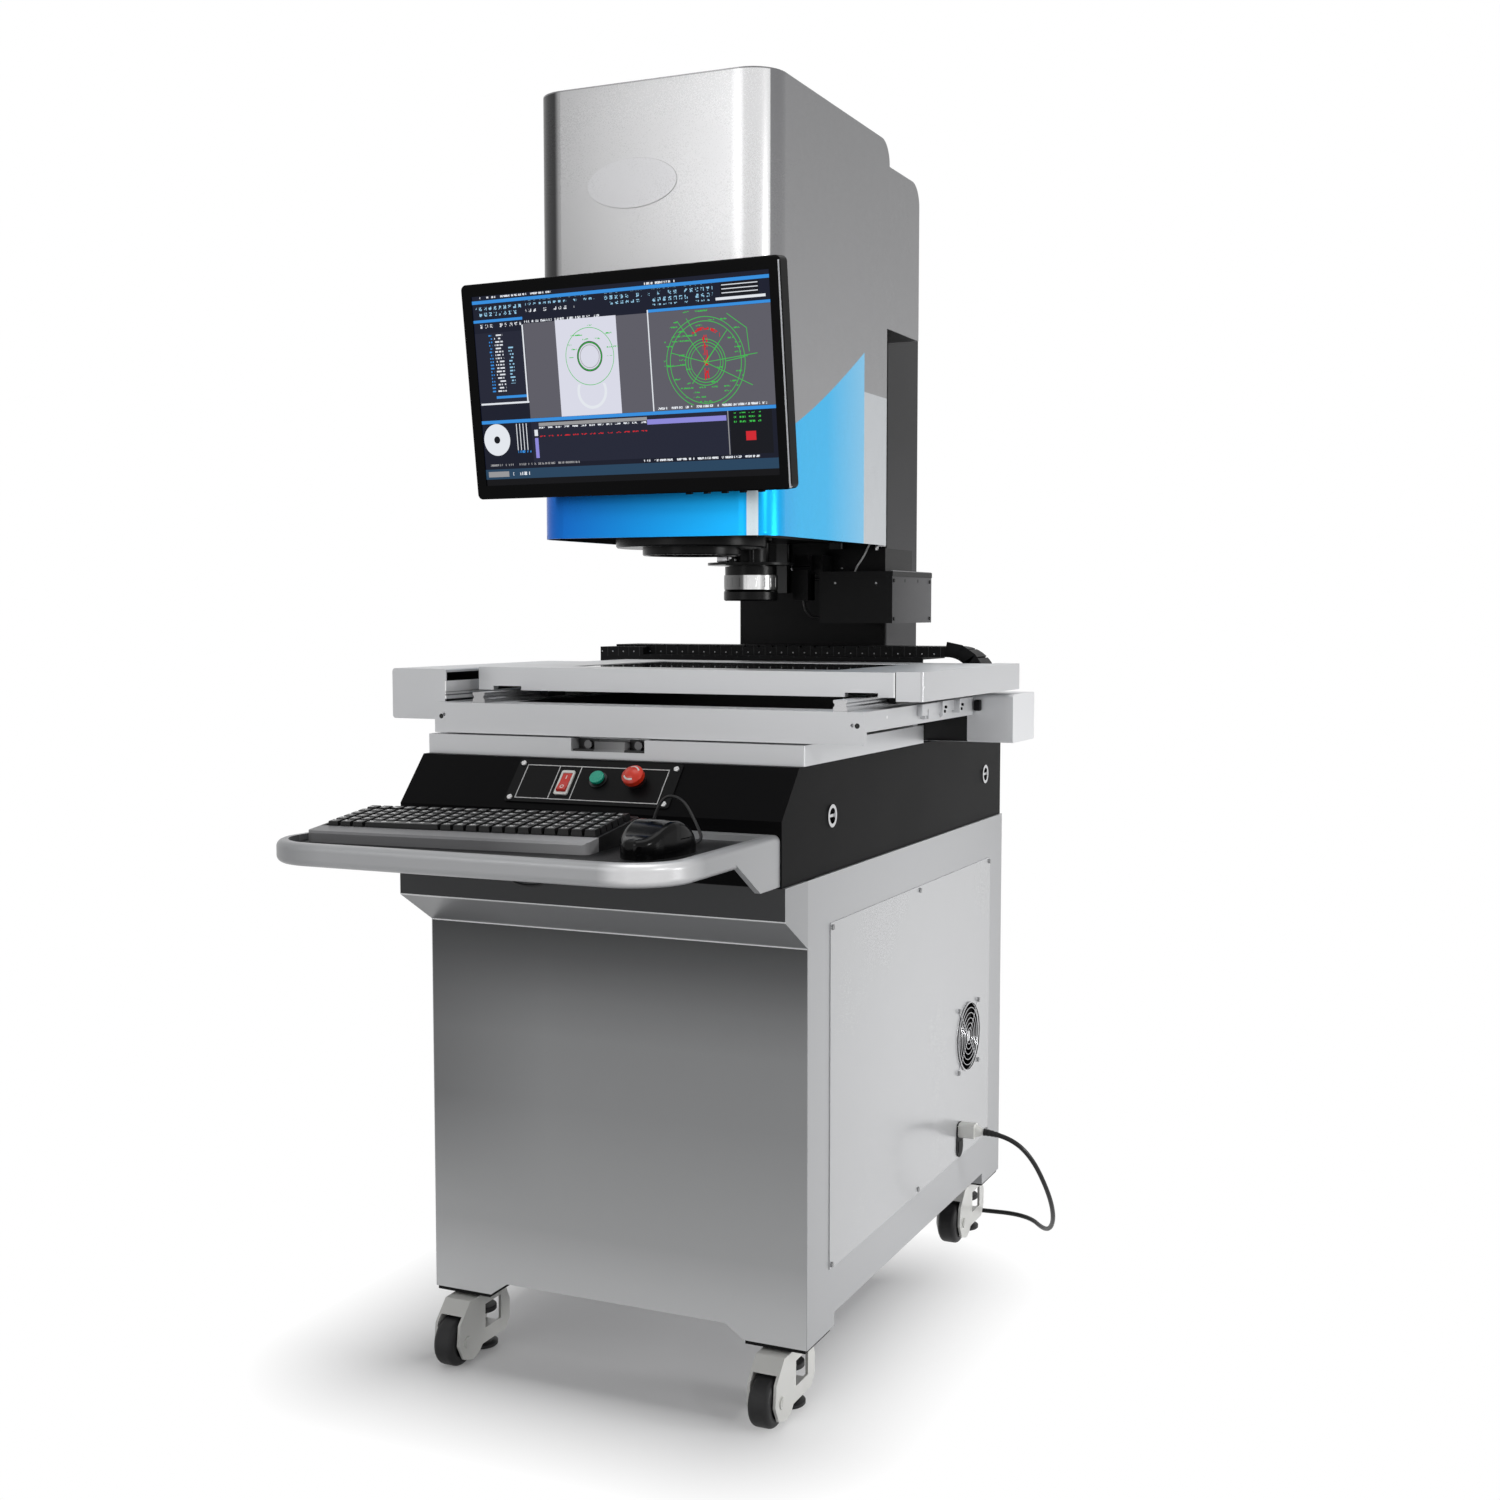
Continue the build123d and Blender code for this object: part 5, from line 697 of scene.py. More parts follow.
def finishSideBoxAndLight(look):
    shade = sprayed("sideBoxFinish", look)
    x, y, z = shade.axes()
    # painted light on the right side, then a painted highlight on the lid edge
    flank = (x > look["right"]) * z.between(*look["flank"])
    overlay(shade, flank, shade.mix(y.ramp(*look["run"]), look["near"], look["far"]))
    overlay(shade, (x > look["lidRight"]) * (z > look["lid"]), look["lidTone"])
    dotted(shade, y < look["front"], x, z, *look["frontScrews"])
    for screws in look["towerScrews"]:
        dotted(shade, y.between(*look["tower"]), x, z, *screws)
    dotted(shade, x > look["sideRight"], y, z, *look["sideScrews"])
    return shade


# column: black in front, its flank painted greyer as painted light and darker towards the top as painted shade under
# the head
columnLook = {
    "colour": grey(14, 1), "roughness": 0.42, "peel": 1.4, "relief": 120, "change": 0.12, "shine": 0.1,
    "right": 138, "foot": 960, "run": (1230, 180), "low": grey(66, 2), "high": grey(44, 2),
}


def finishColumnAndShade(look):
    shade = sprayed("columnFinish", look)
    x, _, z = shade.axes()
    # painted light on the flank, darker towards the top as painted shade
    flank = (x > look["right"]) * (z > look["foot"])
    overlay(shade, flank, shade.mix(z.ramp(*look["run"]), look["low"], look["high"]))
    return shade


# chrome ring: painted reflections, dark, middle and bright bands over each half turn, the bright ones roughly where
# the photograph has them
gripLook = {
    "middle": at(0, 478, 1154.5), "turn": math.radians(65.7), "between": grey(90, 2), "betweenShare": 0.25,
    "bands": [(0.0, 14), (0.16, 120), (0.4, 60), (0.46, 245), (0.6, 245), (0.68, 90), (0.84, 220), (0.93, 14)],
    "lines": (2.0, 2.0, 0.02),
}


def paintGripReflections(look):
    shade = Shade("gripPaintedReflections", Metallic=0.9)
    x, y = shade.axes(look["middle"])[:2]
    half = (y.step("ARCTAN2", x) + look["turn"]) / math.pi + 0.5
    # painted reflections: bands round the ring
    bands = gradient(shade, look["bands"], half - half.floor())
    lines = shade.noise(shade.stretch(shade.place(), look["lines"]), 1.0, 2.0)
    shade.colour(shade.mix(lines * look["betweenShare"], bands, look["between"]))
    shade.link("Roughness", lines * 0.1 + 0.14)
    return shade


for name, finish, look in (
    ("fixed_rails", paintRailShade, railLook), ("fasteners", finishScrews, screwLook),
    ("lock_bracket", finishLockAndSheen, lockLook), ("switch_bezels", finishBezels, bezelLook),
    ("power_connector", finishPlugs, plugLook), ("side_box", finishSideBoxAndLight, sideBoxLook),
    ("column", finishColumnAndShade, columnLook), ("zoom_ring", paintGripReflections, gripLook),
    ("x_drive_cover", paintCoverLight, coverPaint), ("y_rails", finishGuides, guideLook),
    ("drag_chain", finishChainAndGlints, chainLook), ("tray", paintTrayLight, trayPaint),
    ("cabinet_body", paintCabinetShade, cabinetFront),
):
    dress(finish(look), name)
print("local finishes done")


# head cover: silver, blue below a rising curve, with a pale band behind the blue as a painted reflection, and painted
# light and shade across the front, sides and inside
headPaintAndLight = {
    "silver": grey(184, 2), "pale": tone(224, 228, 232),
    "deep": tone(0, 90, 194), "blue": tone(8, 176, 246), "cyan": tone(4, 190, 250), "sky": tone(122, 204, 246),
    "front": 121, "rear": 486, "low": 1350, "high": 1513, "rise": 1.25, "paleTop": 1452, "paleRear": 588, "top": 1858,
    "half": 192, "turn": 141, "corner": 50, "inside": grey(44, 2),
    "greys": [(0.0, 44), (0.104, 54), (0.122, 172), (0.3, 182), (0.6, 190), (0.84, 202), (0.885, 254), (1.0, 255)],
    "sideLow": grey(166, 2), "sideHigh": grey(140, 2), "strip": tone(232, 246, 253),
    "sideRun": (1440, 420), "faceRun": (-190, 330), "cyanRun": (330, 150), "turnRun": (150, 80), "stripX": 154,
    "stripY": 129, "skin": 1.4, "insideTop": 1800, "insideRear": 738, "metallic": 0.25, "blueMetal": 0.4,
}


def paintHeadAndLight(look):
    shade = sprayed("headPaintAndLight", {
        **silver, "colour": look["silver"], "metallic": look["metallic"], "roughness": 0.28, "shine": 0.3,
        "change": 0.01, "relief": 8,
    })
    x, y, z = shade.axes()
    # painted shade and highlight: the rolled corners are dark on the left and bright on the right, and the sides are
    # darker towards the top
    front = (y < look["turn"]).either((y < look["front"] + look["corner"]) * (x < 0)) * (z < look["top"])
    across = gradient(shade, look["greys"], x.ramp(-look["half"], 2 * look["half"]), (0, 0, 1))
    overlay(shade, 1 - front, shade.mix(z.ramp(*look["sideRun"]), look["sideLow"], look["sideHigh"]))
    overlay(shade, front, across)
    run = y.ramp(look["front"], look["rear"] - look["front"])
    border = run.step("POWER", look["rise"]) * (look["high"] - look["low"]) + look["low"]
    blue = (z < border) * (y < look["rear"])
    pale = (z < look["paleTop"]) * y.between(look["rear"], look["paleRear"])
    # painted reflection: the pale band behind the blue
    overlay(shade, pale, look["pale"])
    # painted shade darkens the blue towards the left, painted reflection pales it towards the rear
    face = shade.mix(x.ramp(*look["faceRun"]), look["deep"], look["blue"])
    side = shade.mix(y.ramp(*look["cyanRun"]), look["cyan"], look["sky"])
    overlay(shade, blue, shade.mix(y.ramp(*look["turnRun"]), face, side))
    # painted highlight: a pale strip down the blue at the right front corner
    overlay(shade, blue * (x > look["stripX"]) * (y < look["stripY"]), look["strip"])
    # painted shade: the inside of the sheet is painted dark
    inX = (abs(x) - (look["half"] - look["corner"])).either(0.0)
    inY = (look["front"] + look["corner"] - y).either(0.0)
    shell = distance(inX, inY) < look["corner"] - look["skin"]
    overlay(shade, shell * (z < look["insideTop"]) * (y < look["insideRear"]), look["inside"])
    shade.link("Metallic", blue * look["blueMetal"] + look["metallic"])
    return shade


headFinishAndLight = paintHeadAndLight(headPaintAndLight)
dress(headFinishAndLight, "head_cover")


# control board: white frame and two dividers printed on black
boardPrint = {
    "ground": grey(15, 1), "ink": grey(220), "frame": (-113, 110, 17, 75), "line": 1.3,
    "dividers": (-60.3, -26), "foot": at(0, -80, 836.4), "turn": (math.atan2(66, 59), 0.0, 0.0), "face": 1.0,
}


def printBoard(look):
    shade = sprayed("boardPrint", {
        "colour": look["ground"], "roughness": 0.36, "peel": 1.6, "relief": 60, "change": 0.1, "shine": 0.08,
    })
    x, s, n = shade.axes(look["foot"], look["turn"])
    left, right, low, high = look["frame"]
    line = look["line"]
    outer = x.between(left, right) * s.between(low, high)
    inner = x.between(left + line, right - line) * s.between(low + line, high - line)
    ink = outer - inner
    for divider in look["dividers"]:
        ink = ink.either(x.between(divider - line / 2, divider + line / 2) * s.between(low, high))
    overlay(shade, ink * (n > look["face"]), look["ink"])
    return shade


dress(printBoard(boardPrint), "control_panel")


# red switches: a bar and a ring on the rocker, two arcs on the button
redLook = {
    "colour": tone(228, 52, 24), "roughness": 0.32, "grain": 1.0, "relief": 20, "change": 0.06,
    "ink": tone(236, 236, 232),
}
rockerMarks = {
    **redLook, "colour": tone(214, 40, 26), "middle": (-42.5, 45), "barHalf": 0.7, "bar": 9, "barLong": 3.2,
    "ring": -8.5, "ringWide": (1.9, 3.1),
}
stopMarks = {
    **redLook, "middle": (67, 52), "arcs": (1.2, -1.9), "halfArc": 0.75, "arcWide": (9.6, 11.8), "face": 20,
}


def startSwitch(name, look):
    shade = moulded(name, look)
    x, s, n = shade.axes(boardPrint["foot"], boardPrint["turn"])
    return shade, x - look["middle"][0], s - look["middle"][1], n


def markRocker(look):
    shade, across, along, _ = startSwitch("rockerRed", look)
    bar = (abs(across) < look["barHalf"]) * (abs(along - look["bar"]) < look["barLong"])
    ring = distance(across, along - look["ring"]).between(*look["ringWide"])
    overlay(shade, bar.either(ring), look["ink"])
    return shade


def markStop(look):
    shade, across, along, n = startSwitch("stopRed", look)
    angle = along.step("ARCTAN2", across)
    first, second = (abs(angle - middle) < look["halfArc"] for middle in look["arcs"])
    arcs = distance(across, along).between(*look["arcWide"]) * first.either(second)
    overlay(shade, arcs * (n > look["face"]), look["ink"])
    return shade


dress(markRocker(rockerMarks), "power_rocker")
dress(markStop(stopMarks), "emergency_stop")

# keyboard: pale marks on the keys, grey band along the case
keyLook = {"colour": grey(19, 1), "roughness": 0.4, "grain": 2.0, "relief": 40, "change": 0.15, "shine": 0.25}
keyField = {
    "middle": at(-72, -235, 811), "turn": (0.0, 0.0, math.radians(5)), "pitch": 18.4, "firstRow": -36.5,
    "block": 1.5, "least": 0.36, "window": ((0.2, 0.56), (0.4, 0.8)), "top": 0.9, "mark": grey(226),
    "bandEdge": -50.5, "bandRun": (60, 140), "band": grey(136, 2), "bandEnd": grey(190, 2),
}


def chance(shade, x, y, pitch, least):
    # blocks of a grid, picked at random
    cells = shade.node("ShaderNodeCombineXYZ", None, {0: (x / pitch[0]).floor(), 1: (y / pitch[1]).floor(), 2: 0.0})
    return shade.node("ShaderNodeTexWhiteNoise", {"noise_dimensions": "3D"}, {"Vector": cells}) > least


def markKeys(look):
    # each mark is a few small blocks on the upper left of its key
    shade = moulded("keyPrint", keyLook)
    x, y = shade.axes(look["middle"], look["turn"])[:2]
    u = (x / look["pitch"] + 0.5).rest()
    v = ((y - look["firstRow"]) / look["pitch"] + 0.5).rest()
    picked = chance(shade, x, y, (look["block"], look["block"]), look["least"])
    window = u.between(*look["window"][0]) * v.between(*look["window"][1])
    overlay(shade, window * picked * (shade.upward() > look["top"]), look["mark"])
    return shade


def bandCase(look):
    shade = moulded("keyboardCase", keyLook)
    x, y = shade.axes(look["middle"], look["turn"])[:2]
    overlay(shade, y < look["bandEdge"], shade.mix(x.ramp(*look["bandRun"]), look["band"], look["bandEnd"]))
    return shade


dress(markKeys(keyField), "keyboard_keys")
dress(bandCase(keyField), "keyboard_case")

# stage glass
glass = Shade(
    "stageGlass", Transmission_Weight=0.92, IOR=1.5, Roughness=0.03, Base_Color=tone(96, 104, 100),
    Specular_IOR_Level=0.2,
)
smear = glass.noise(glass.place(), 0.03, 3.0)
glass.link("Roughness", smear * 0.05 + 0.01)
dress(glass, "stage_glass")

# display picture: tool rows, part picture, drawn circles, table and status area, no words
# each row of areas: left, right, low and high shares of the lit field, colour, pattern
picture = {
    "middle": at(7, 23, 1422), "turn": (math.radians(97.2), 0.0, math.radians(-2.8)),
    "width": 476, "height": 268, "foot": 9,
    "navy": tone(20, 24, 42), "ink": tone(30, 33, 50), "slate": tone(92, 91, 100), "line": tone(52, 142, 222),
    "white": tone(226, 230, 236), "green": tone(60, 190, 76), "red": tone(206, 36, 46), "lilac": tone(140, 136, 216),
    "icon": tone(150, 200, 228), "grey": grey(150, 2), "page": tone(216, 217, 230), "teal": tone(36, 66, 92),
    "coal": tone(12, 14, 22),
    "areas": [
        (0.0, 1.0, 0.958, 0.976, "line", ""), (0.6, 0.7, 0.979, 0.991, "white", "dashes"),
        (0.026, 0.283, 0.985, 0.995, "white", "dashes"), (0.01, 0.175, 0.885, 0.952, "icon", "icons"),
        (0.19, 0.43, 0.93, 0.955, "icon", "icons"), (0.19, 0.36, 0.893, 0.922, "white", "icons"),
        (0.46, 0.59, 0.895, 0.955, "icon", "icons"), (0.61, 0.82, 0.87, 0.955, "icon", "icons"),
        (0.0, 0.176, 0.857, 0.872, "line", ""), (0.606, 1.0, 0.836, 0.851, "line", ""),
        (0.01, 0.17, 0.824, 0.85, "white", "icons"), (0.844, 0.965, 0.885, 0.954, "coal", ""),
        (0.848, 0.962, 0.89, 0.95, "white", "stripes"), (0.828, 0.985, 0.868, 0.882, "white", ""),
        (0.178, 1.0, 0.325, 0.835, "slate", ""), (0.176, 0.45, 0.838, 0.85, "white", "dashes"),
        (0.603, 0.607, 0.325, 0.85, "white", ""), (0.289, 0.498, 0.325, 0.838, "page", ""),
        (0.0, 0.174, 0.42, 0.8, "ink", ""), (0.05, 0.062, 0.47, 0.79, "line", "list"),
        (0.07, 0.1, 0.47, 0.79, "white", "list"), (0.118, 0.135, 0.52, 0.72, "icon", "list"),
        (0.062, 0.174, 0.442, 0.456, "line", ""), (0.004, 0.178, 0.41, 0.42, "white", ""),
        (0.171, 0.176, 0.42, 0.83, "white", ""), (0.0, 1.0, 0.306, 0.324, "line", ""),
        (0.62, 0.98, 0.331, 0.343, "white", "dashes"), (0.178, 0.985, 0.08, 0.306, "ink", ""),
        (0.205, 0.58, 0.28, 0.298, "grey", ""), (0.58, 0.84, 0.257, 0.284, "lilac", ""),
        (0.2, 0.58, 0.254, 0.276, "white", "rows"), (0.2, 0.58, 0.222, 0.242, "red", "rows"),
        (0.188, 0.2, 0.108, 0.217, "lilac", ""), (0.188, 0.2, 0.228, 0.262, "white", ""),
        (0.844, 0.847, 0.08, 0.306, "grey", ""), (0.85, 0.985, 0.08, 0.306, "coal", ""),
        (0.864, 0.95, 0.232, 0.296, "green", "rows"), (0.9, 0.932, 0.15, 0.197, "red", ""),
        (0.122, 0.17, 0.155, 0.3, "white", "sliders"), (0.115, 0.175, 0.14, 0.153, "line", "dashes"),
        (0.56, 0.945, 0.062, 0.073, "white", "dashes"), (0.02, 0.34, 0.072, 0.083, "grey", "dashes"),
        (0.0, 1.0, 0.0, 0.055, "teal", ""), (0.01, 0.085, 0.012, 0.042, "grey", ""),
        (0.1, 0.16, 0.018, 0.036, "white", "dashes"),
    ],
    "unlit": (0.002, 0.002, 0.003, 1),
    # rings: centre, radius, half width, colour, on the page or on the drawing field
    "rings": [
        (0.401, 0.635, 0.151, 0.0016, "green"), (0.401, 0.635, 0.0745, 0.0055, "coal"),
        (0.401, 0.635, 0.074, 0.002, "green"), (0.401, 0.635, 0.06, 0.0016, "grey"),
        (0.784, 0.561, 0.232, 0.0018, "green"), (0.784, 0.561, 0.21, 0.0018, "green"),
        (0.784, 0.561, 0.118, 0.0018, "green"), (0.784, 0.561, 0.103, 0.0018, "green"),
        (0.784, 0.561, 0.088, 0.0014, "green"),
    ],
    # straight strokes from point to point
    "strokes": [
        (0.675, 0.62, 0.784, 0.561), (0.784, 0.561, 0.93, 0.43), (0.784, 0.561, 0.95, 0.59),
        (0.70, 0.78, 0.784, 0.561), (0.784, 0.561, 0.86, 0.72), (0.74, 0.46, 0.85, 0.70),
        (0.66, 0.55, 0.72, 0.555), (0.85, 0.56, 0.91, 0.575), (0.86, 0.80, 0.92, 0.72),
        (0.92, 0.72, 0.925, 0.6), (0.73, 0.79, 0.76, 0.70), (0.33, 0.635, 0.345, 0.635),
    ],
}


def lightScreen(look):
    shade = Shade(
        "litDisplay", Base_Color=look["unlit"], Roughness=0.12, Emission_Strength=1.0, Specular_IOR_Level=0.1,
    )
    x, y = shade.axes(look["middle"], look["turn"])[:2]
    tall = look["height"] - look["foot"]
    u = (x + look["width"] / 2) / look["width"]
    v = (y - 1 + look["height"] / 2 - look["foot"]) / tall

    def scatter(pitch, least):
        return chance(shade, x, y, pitch, least)

    # small blocks on fine grids: icons stand apart, dashes and rows lie in lines
    patterns = {
        "icons": (
            ((x / 8.4).rest() < 0.56) * ((y / 8.2).rest() < 0.62)
            * scatter((1.5, 1.3), 0.5) * scatter((8.4, 8.2), 0.16)
        ),
        "dashes": scatter((1.7, 40.0), 0.42) * scatter((0.8, 1.2), 0.2),
        "rows": ((x / 14.0).rest() < 0.66) * ((y / 6.1).rest() < 0.4) * scatter((1.4, 1.6), 0.36),
        "list": ((y / 4.6).rest() < 0.45) * scatter((1.8, 4.6), 0.3),
        "stripes": (y / 5.2).rest() < 0.22,
        "sliders": (x / 5.6).rest() < 0.22,
    }
    page = shade.mix(v.ramp(0.0, 1.0), shaded(look["navy"], 0.8), look["navy"])

    def paint(mask, colour):
        nonlocal page
        page = shade.mix(mask, page, colour)

    for left, right, low, high, colour, pattern in look["areas"]:
        mask = u.between(left, right) * v.between(low, high)
        paint(mask * patterns[pattern] if pattern else mask, look[colour])
    stretch = (look["width"] / tall) ** 2

    def away(centreU, centreV):
        return ((u - centreU) * (u - centreU) * stretch + (v - centreV) * (v - centreV)).step("SQRT")

    field = u.between(0.608, 0.99) * v.between(0.345, 0.834)
    paper = u.between(0.289, 0.498) * v.between(0.326, 0.837)
    # the part's paler foot, its rings, and scattered marks round both pictures
    paint(away(0.401, 0.451).between(0.078, 0.094) * (v < 0.49) * paper, look["white"])
    for centreU, centreV, radius, width, colour in look["rings"]:
        where = paper if centreU < 0.5 else field
        paint(away(centreU, centreV).between(radius - width, radius + width) * where, look[colour])
    marks = scatter((9.5, 6.3), 0.72) * ((y / 6.3).rest() < 0.3) * scatter((1.3, 1.1), 0.4)
    paint(marks * field * away(0.784, 0.6).between(0.09, 0.25), look["green"])
    above = marks * (v > 0.6) * u.between(0.33, 0.5) * v.between(0.63, 0.8)
    paint(above * away(0.401, 0.635).between(0.09, 0.2), look["green"])
    arc = away(0.784, 0.6).between(0.125, 0.14) * (abs(u - 0.79) < 0.045) * (v > 0.6)
    paint(arc * scatter((2.6, 2.0), 0.35), look["red"])
    paint((abs(u - 0.786) < 0.008) * v.between(0.47, 0.7) * scatter((1.6, 3.4), 0.5), look["red"])
    for startU, startV, endU, endV in look["strokes"]:
        spanX, spanY = (endU - startU) * look["width"], (endV - startV) * tall
        reach = math.hypot(spanX, spanY)
        fromX, fromY = (u - startU) * look["width"], (v - startV) * tall
        along = (fromX * spanX + fromY * spanY) / reach
        aside = abs(fromX * spanY - fromY * spanX) / reach
        paint(along.between(0, reach) * (aside < 0.45), look["green"])
    disc = away(0.051, 0.217)
    paint(disc < 0.087, look["white"])
    paint(disc < 0.02, look["coal"])
    lit = v.between(0.0, 1.0)
    shade.link("Emission Color", shade.mix(lit, look["unlit"], page))
    return shade


# monitor case: gloss black with a painted highlight line along its right edge
caseLook = {
    "colour": grey(5, 1), "roughness": 0.24, "grain": 0.3, "relief": 10, "change": 0.2, "shine": 0.05,
    "edge": (251.6, 253.8), "top": 146, "face": -6, "light": tone(226, 228, 232),
}


def finishMonitorAndHighlight(look):
    shade = moulded("monitorFinishAndHighlight", look)
    x, y, z = shade.axes(picture["middle"], picture["turn"])
    # painted highlight along the right edge
    overlay(shade, x.between(*look["edge"]) * (y < look["top"]) * (z > look["face"]), look["light"])
    return shade


dress(lightScreen(picture), "monitor_screen")
dress(finishMonitorAndHighlight(caseLook), "monitor_case")
print("printed finishes done")


def clearSelection():
    bpy.ops.object.select_all(action="DESELECT")


def pick(piece):
    clearSelection()
    piece.select_set(True)
    bpy.context.view_layer.objects.active = piece


def settle(piece, body, shade):
    # place, turn and size go into the mesh, and the piece takes its body and finish
    pick(piece)
    bpy.ops.object.transform_apply(location=True, rotation=True, scale=True)
    piece.data.materials.clear()
    piece.data.materials.append(shade.material)
    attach(piece, body)


# oval plate on the head's front
oval = {
    "x": -25, "y": 121, "z": 1718, "width": 144, "height": 70, "sheet": 1.0, "edge": 0.4, "sides": 96,
    "tone": grey(188, 2),
}


def makeOval(look):
    clearSelection()
    bpy.ops.mesh.primitive_circle_add(
        vertices=look["sides"], radius=0.5, fill_type="NGON", rotation=(math.radians(90), 0, 0),
        location=at(look["x"], look["y"] - look["sheet"], look["z"]),
    )
    piece = bpy.context.object
    piece.name = "headPlate"
    piece.scale = (look["width"] / 1000, look["height"] / 1000, 1)
    bpy.ops.object.transform_apply(location=False, rotation=False, scale=True)
    bpy.ops.object.mode_set(mode="EDIT")
    bpy.ops.mesh.select_all(action="SELECT")
    bpy.ops.mesh.extrude_region_move(TRANSFORM_OT_translate={"value": (0, look["sheet"] / 1000, 0)})
    bpy.ops.mesh.select_all(action="SELECT")
    bpy.ops.mesh.normals_make_consistent(inside=False)
    bpy.ops.object.mode_set(mode="OBJECT")
    rim = piece.modifiers.new("rim", "BEVEL")
    rim.width = look["edge"] / 1000
    rim.segments = 2
    rim.limit_method = "ANGLE"
    bpy.ops.object.modifier_apply(modifier="rim")
    bpy.ops.object.shade_flat()
    platePaint = sprayed("platePaint", {
        **silver, "colour": look["tone"], "metallic": 0.25, "roughness": 0.28, "shine": 0.3, "change": 0.01,
    })
    settle(piece, "machine", platePaint)


makeOval(oval)


def join(pieces, name):
    clearSelection()
    for piece in pieces:
        piece.select_set(True)
    bpy.context.view_layer.objects.active = pieces[0]
    if len(pieces) > 1:
        bpy.ops.object.join()
    whole = bpy.context.object
    whole.name = name
    return whole


def softened(piece, width, segments=2):
    edge = piece.modifiers.new("edge", "BEVEL")
    edge.width = width / 1000
    edge.segments = segments
    edge.limit_method = "ANGLE"
    pick(piece)
    bpy.ops.object.modifier_apply(modifier="edge")
    bpy.ops.object.shade_smooth_by_angle(angle=math.radians(40))
    return piece


def block(low, high, soften=0.4, turn=(0, 0, 0)):
    # a box between two corners in cabinet millimetres
    middle = [(a + b) / 2 for a, b in zip(low, high)]
    clearSelection()
    bpy.ops.mesh.primitive_cube_add(size=1, location=at(*middle), rotation=[math.radians(a) for a in turn])
    piece = bpy.context.object
    piece.scale = [(b - a) / 1000 for a, b in zip(low, high)]
    bpy.ops.object.transform_apply(location=False, rotation=False, scale=True)
    return softened(piece, soften)


def rod(start, end, radius, soften=0.3, sides=24):
    first, last = at(*start), at(*end)
    span = last - first
    clearSelection()
    bpy.ops.mesh.primitive_cylinder_add(
        vertices=sides, radius=radius / 1000, depth=span.length, location=(first + last) / 2,
        rotation=span.to_track_quat("Z", "Y").to_euler(),
    )
    return softened(bpy.context.object, soften)


# inner rings of the fan's wire guard, in the plane of the outer one
guard = {"y": 705.8, "z": 388.4, "wire": 0.7, "rings": (13.5, 22.0, 30.7, 39.6, 48.4), "sides": (72, 8)}


def makeGuard(look):
    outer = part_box("fan_grille")[1][0]
    wire = look["wire"] / 1000
    rings = []
    for radius in look["rings"]:
        clearSelection()
        bpy.ops.mesh.primitive_torus_add(
            major_radius=radius / 1000, minor_radius=wire, major_segments=look["sides"][0],
            minor_segments=look["sides"][1], location=(outer - wire, *at(0, look["y"], look["z"])[1:]),
            rotation=(0, math.radians(90), 0),
        )
        bpy.ops.object.shade_smooth()
        rings.append(bpy.context.object)
    settle(join(rings, "guardRings"), "machine", brightSteel)


# tapered rubber sleeves where the mains cord leaves its connectors
sleeve = {
    "start": 6.2, "end": 4.5, "groove": 0.45, "grooves": 4, "reach": 0.4, "firstSteps": 16, "lastSteps": 10,
    "bend": 35,
}


def bezier(a, b, c, share):
    return tuple((1 - share) ** 2 * p + 2 * share * (1 - share) * q + share ** 2 * r for p, q, r in zip(a, b, c))


def middleOf(a, b):
    return tuple((p + q) / 2 for p, q in zip(a, b))


def makeSleeve(name, places, look):
    # ribbed cone swept along the cord's own line
    curve = bpy.data.curves.new(name, "CURVE")
    curve.dimensions = "3D"
    curve.bevel_depth = 0.001
    curve.bevel_resolution = 6
    curve.use_fill_caps = True
    spline = curve.splines.new("POLY")
    spline.points.add(len(places) - 1)
    for index, (point, place) in enumerate(zip(spline.points, places)):
        share = index / (len(places) - 1)
        groove = look["groove"] if index % look["grooves"] >= look["grooves"] / 2 else 0.0
        point.co = (*place, 1)
        point.radius = look["start"] + (look["end"] - look["start"]) * share - groove
    piece = bpy.data.objects.new(name, curve)
    bpy.context.scene.collection.objects.link(piece)
    pick(piece)
    bpy.ops.object.convert(target="MESH")
    bpy.ops.object.shade_smooth_by_angle(angle=math.radians(look["bend"]))
    settle(bpy.context.object, "machine", cordRubber)


def sleevePlaces(route, look):
    # along the cord's own curve, from its first end and back from its last
    turn = middleOf(route[1], route[2])
    steps = look["firstSteps"]
    first = [bezier(route[0], route[1], turn, look["reach"] * index / steps) for index in range(steps + 1)]
    steps = look["lastSteps"]
    low, high = middleOf(route[-4], route[-3]), middleOf(route[-3], route[-2])
    last = [bezier(route[-1], route[-2], high, index / steps) for index in range(steps + 1)]
    return first, last + [bezier(high, route[-3], low, index / steps) for index in range(1, steps)]


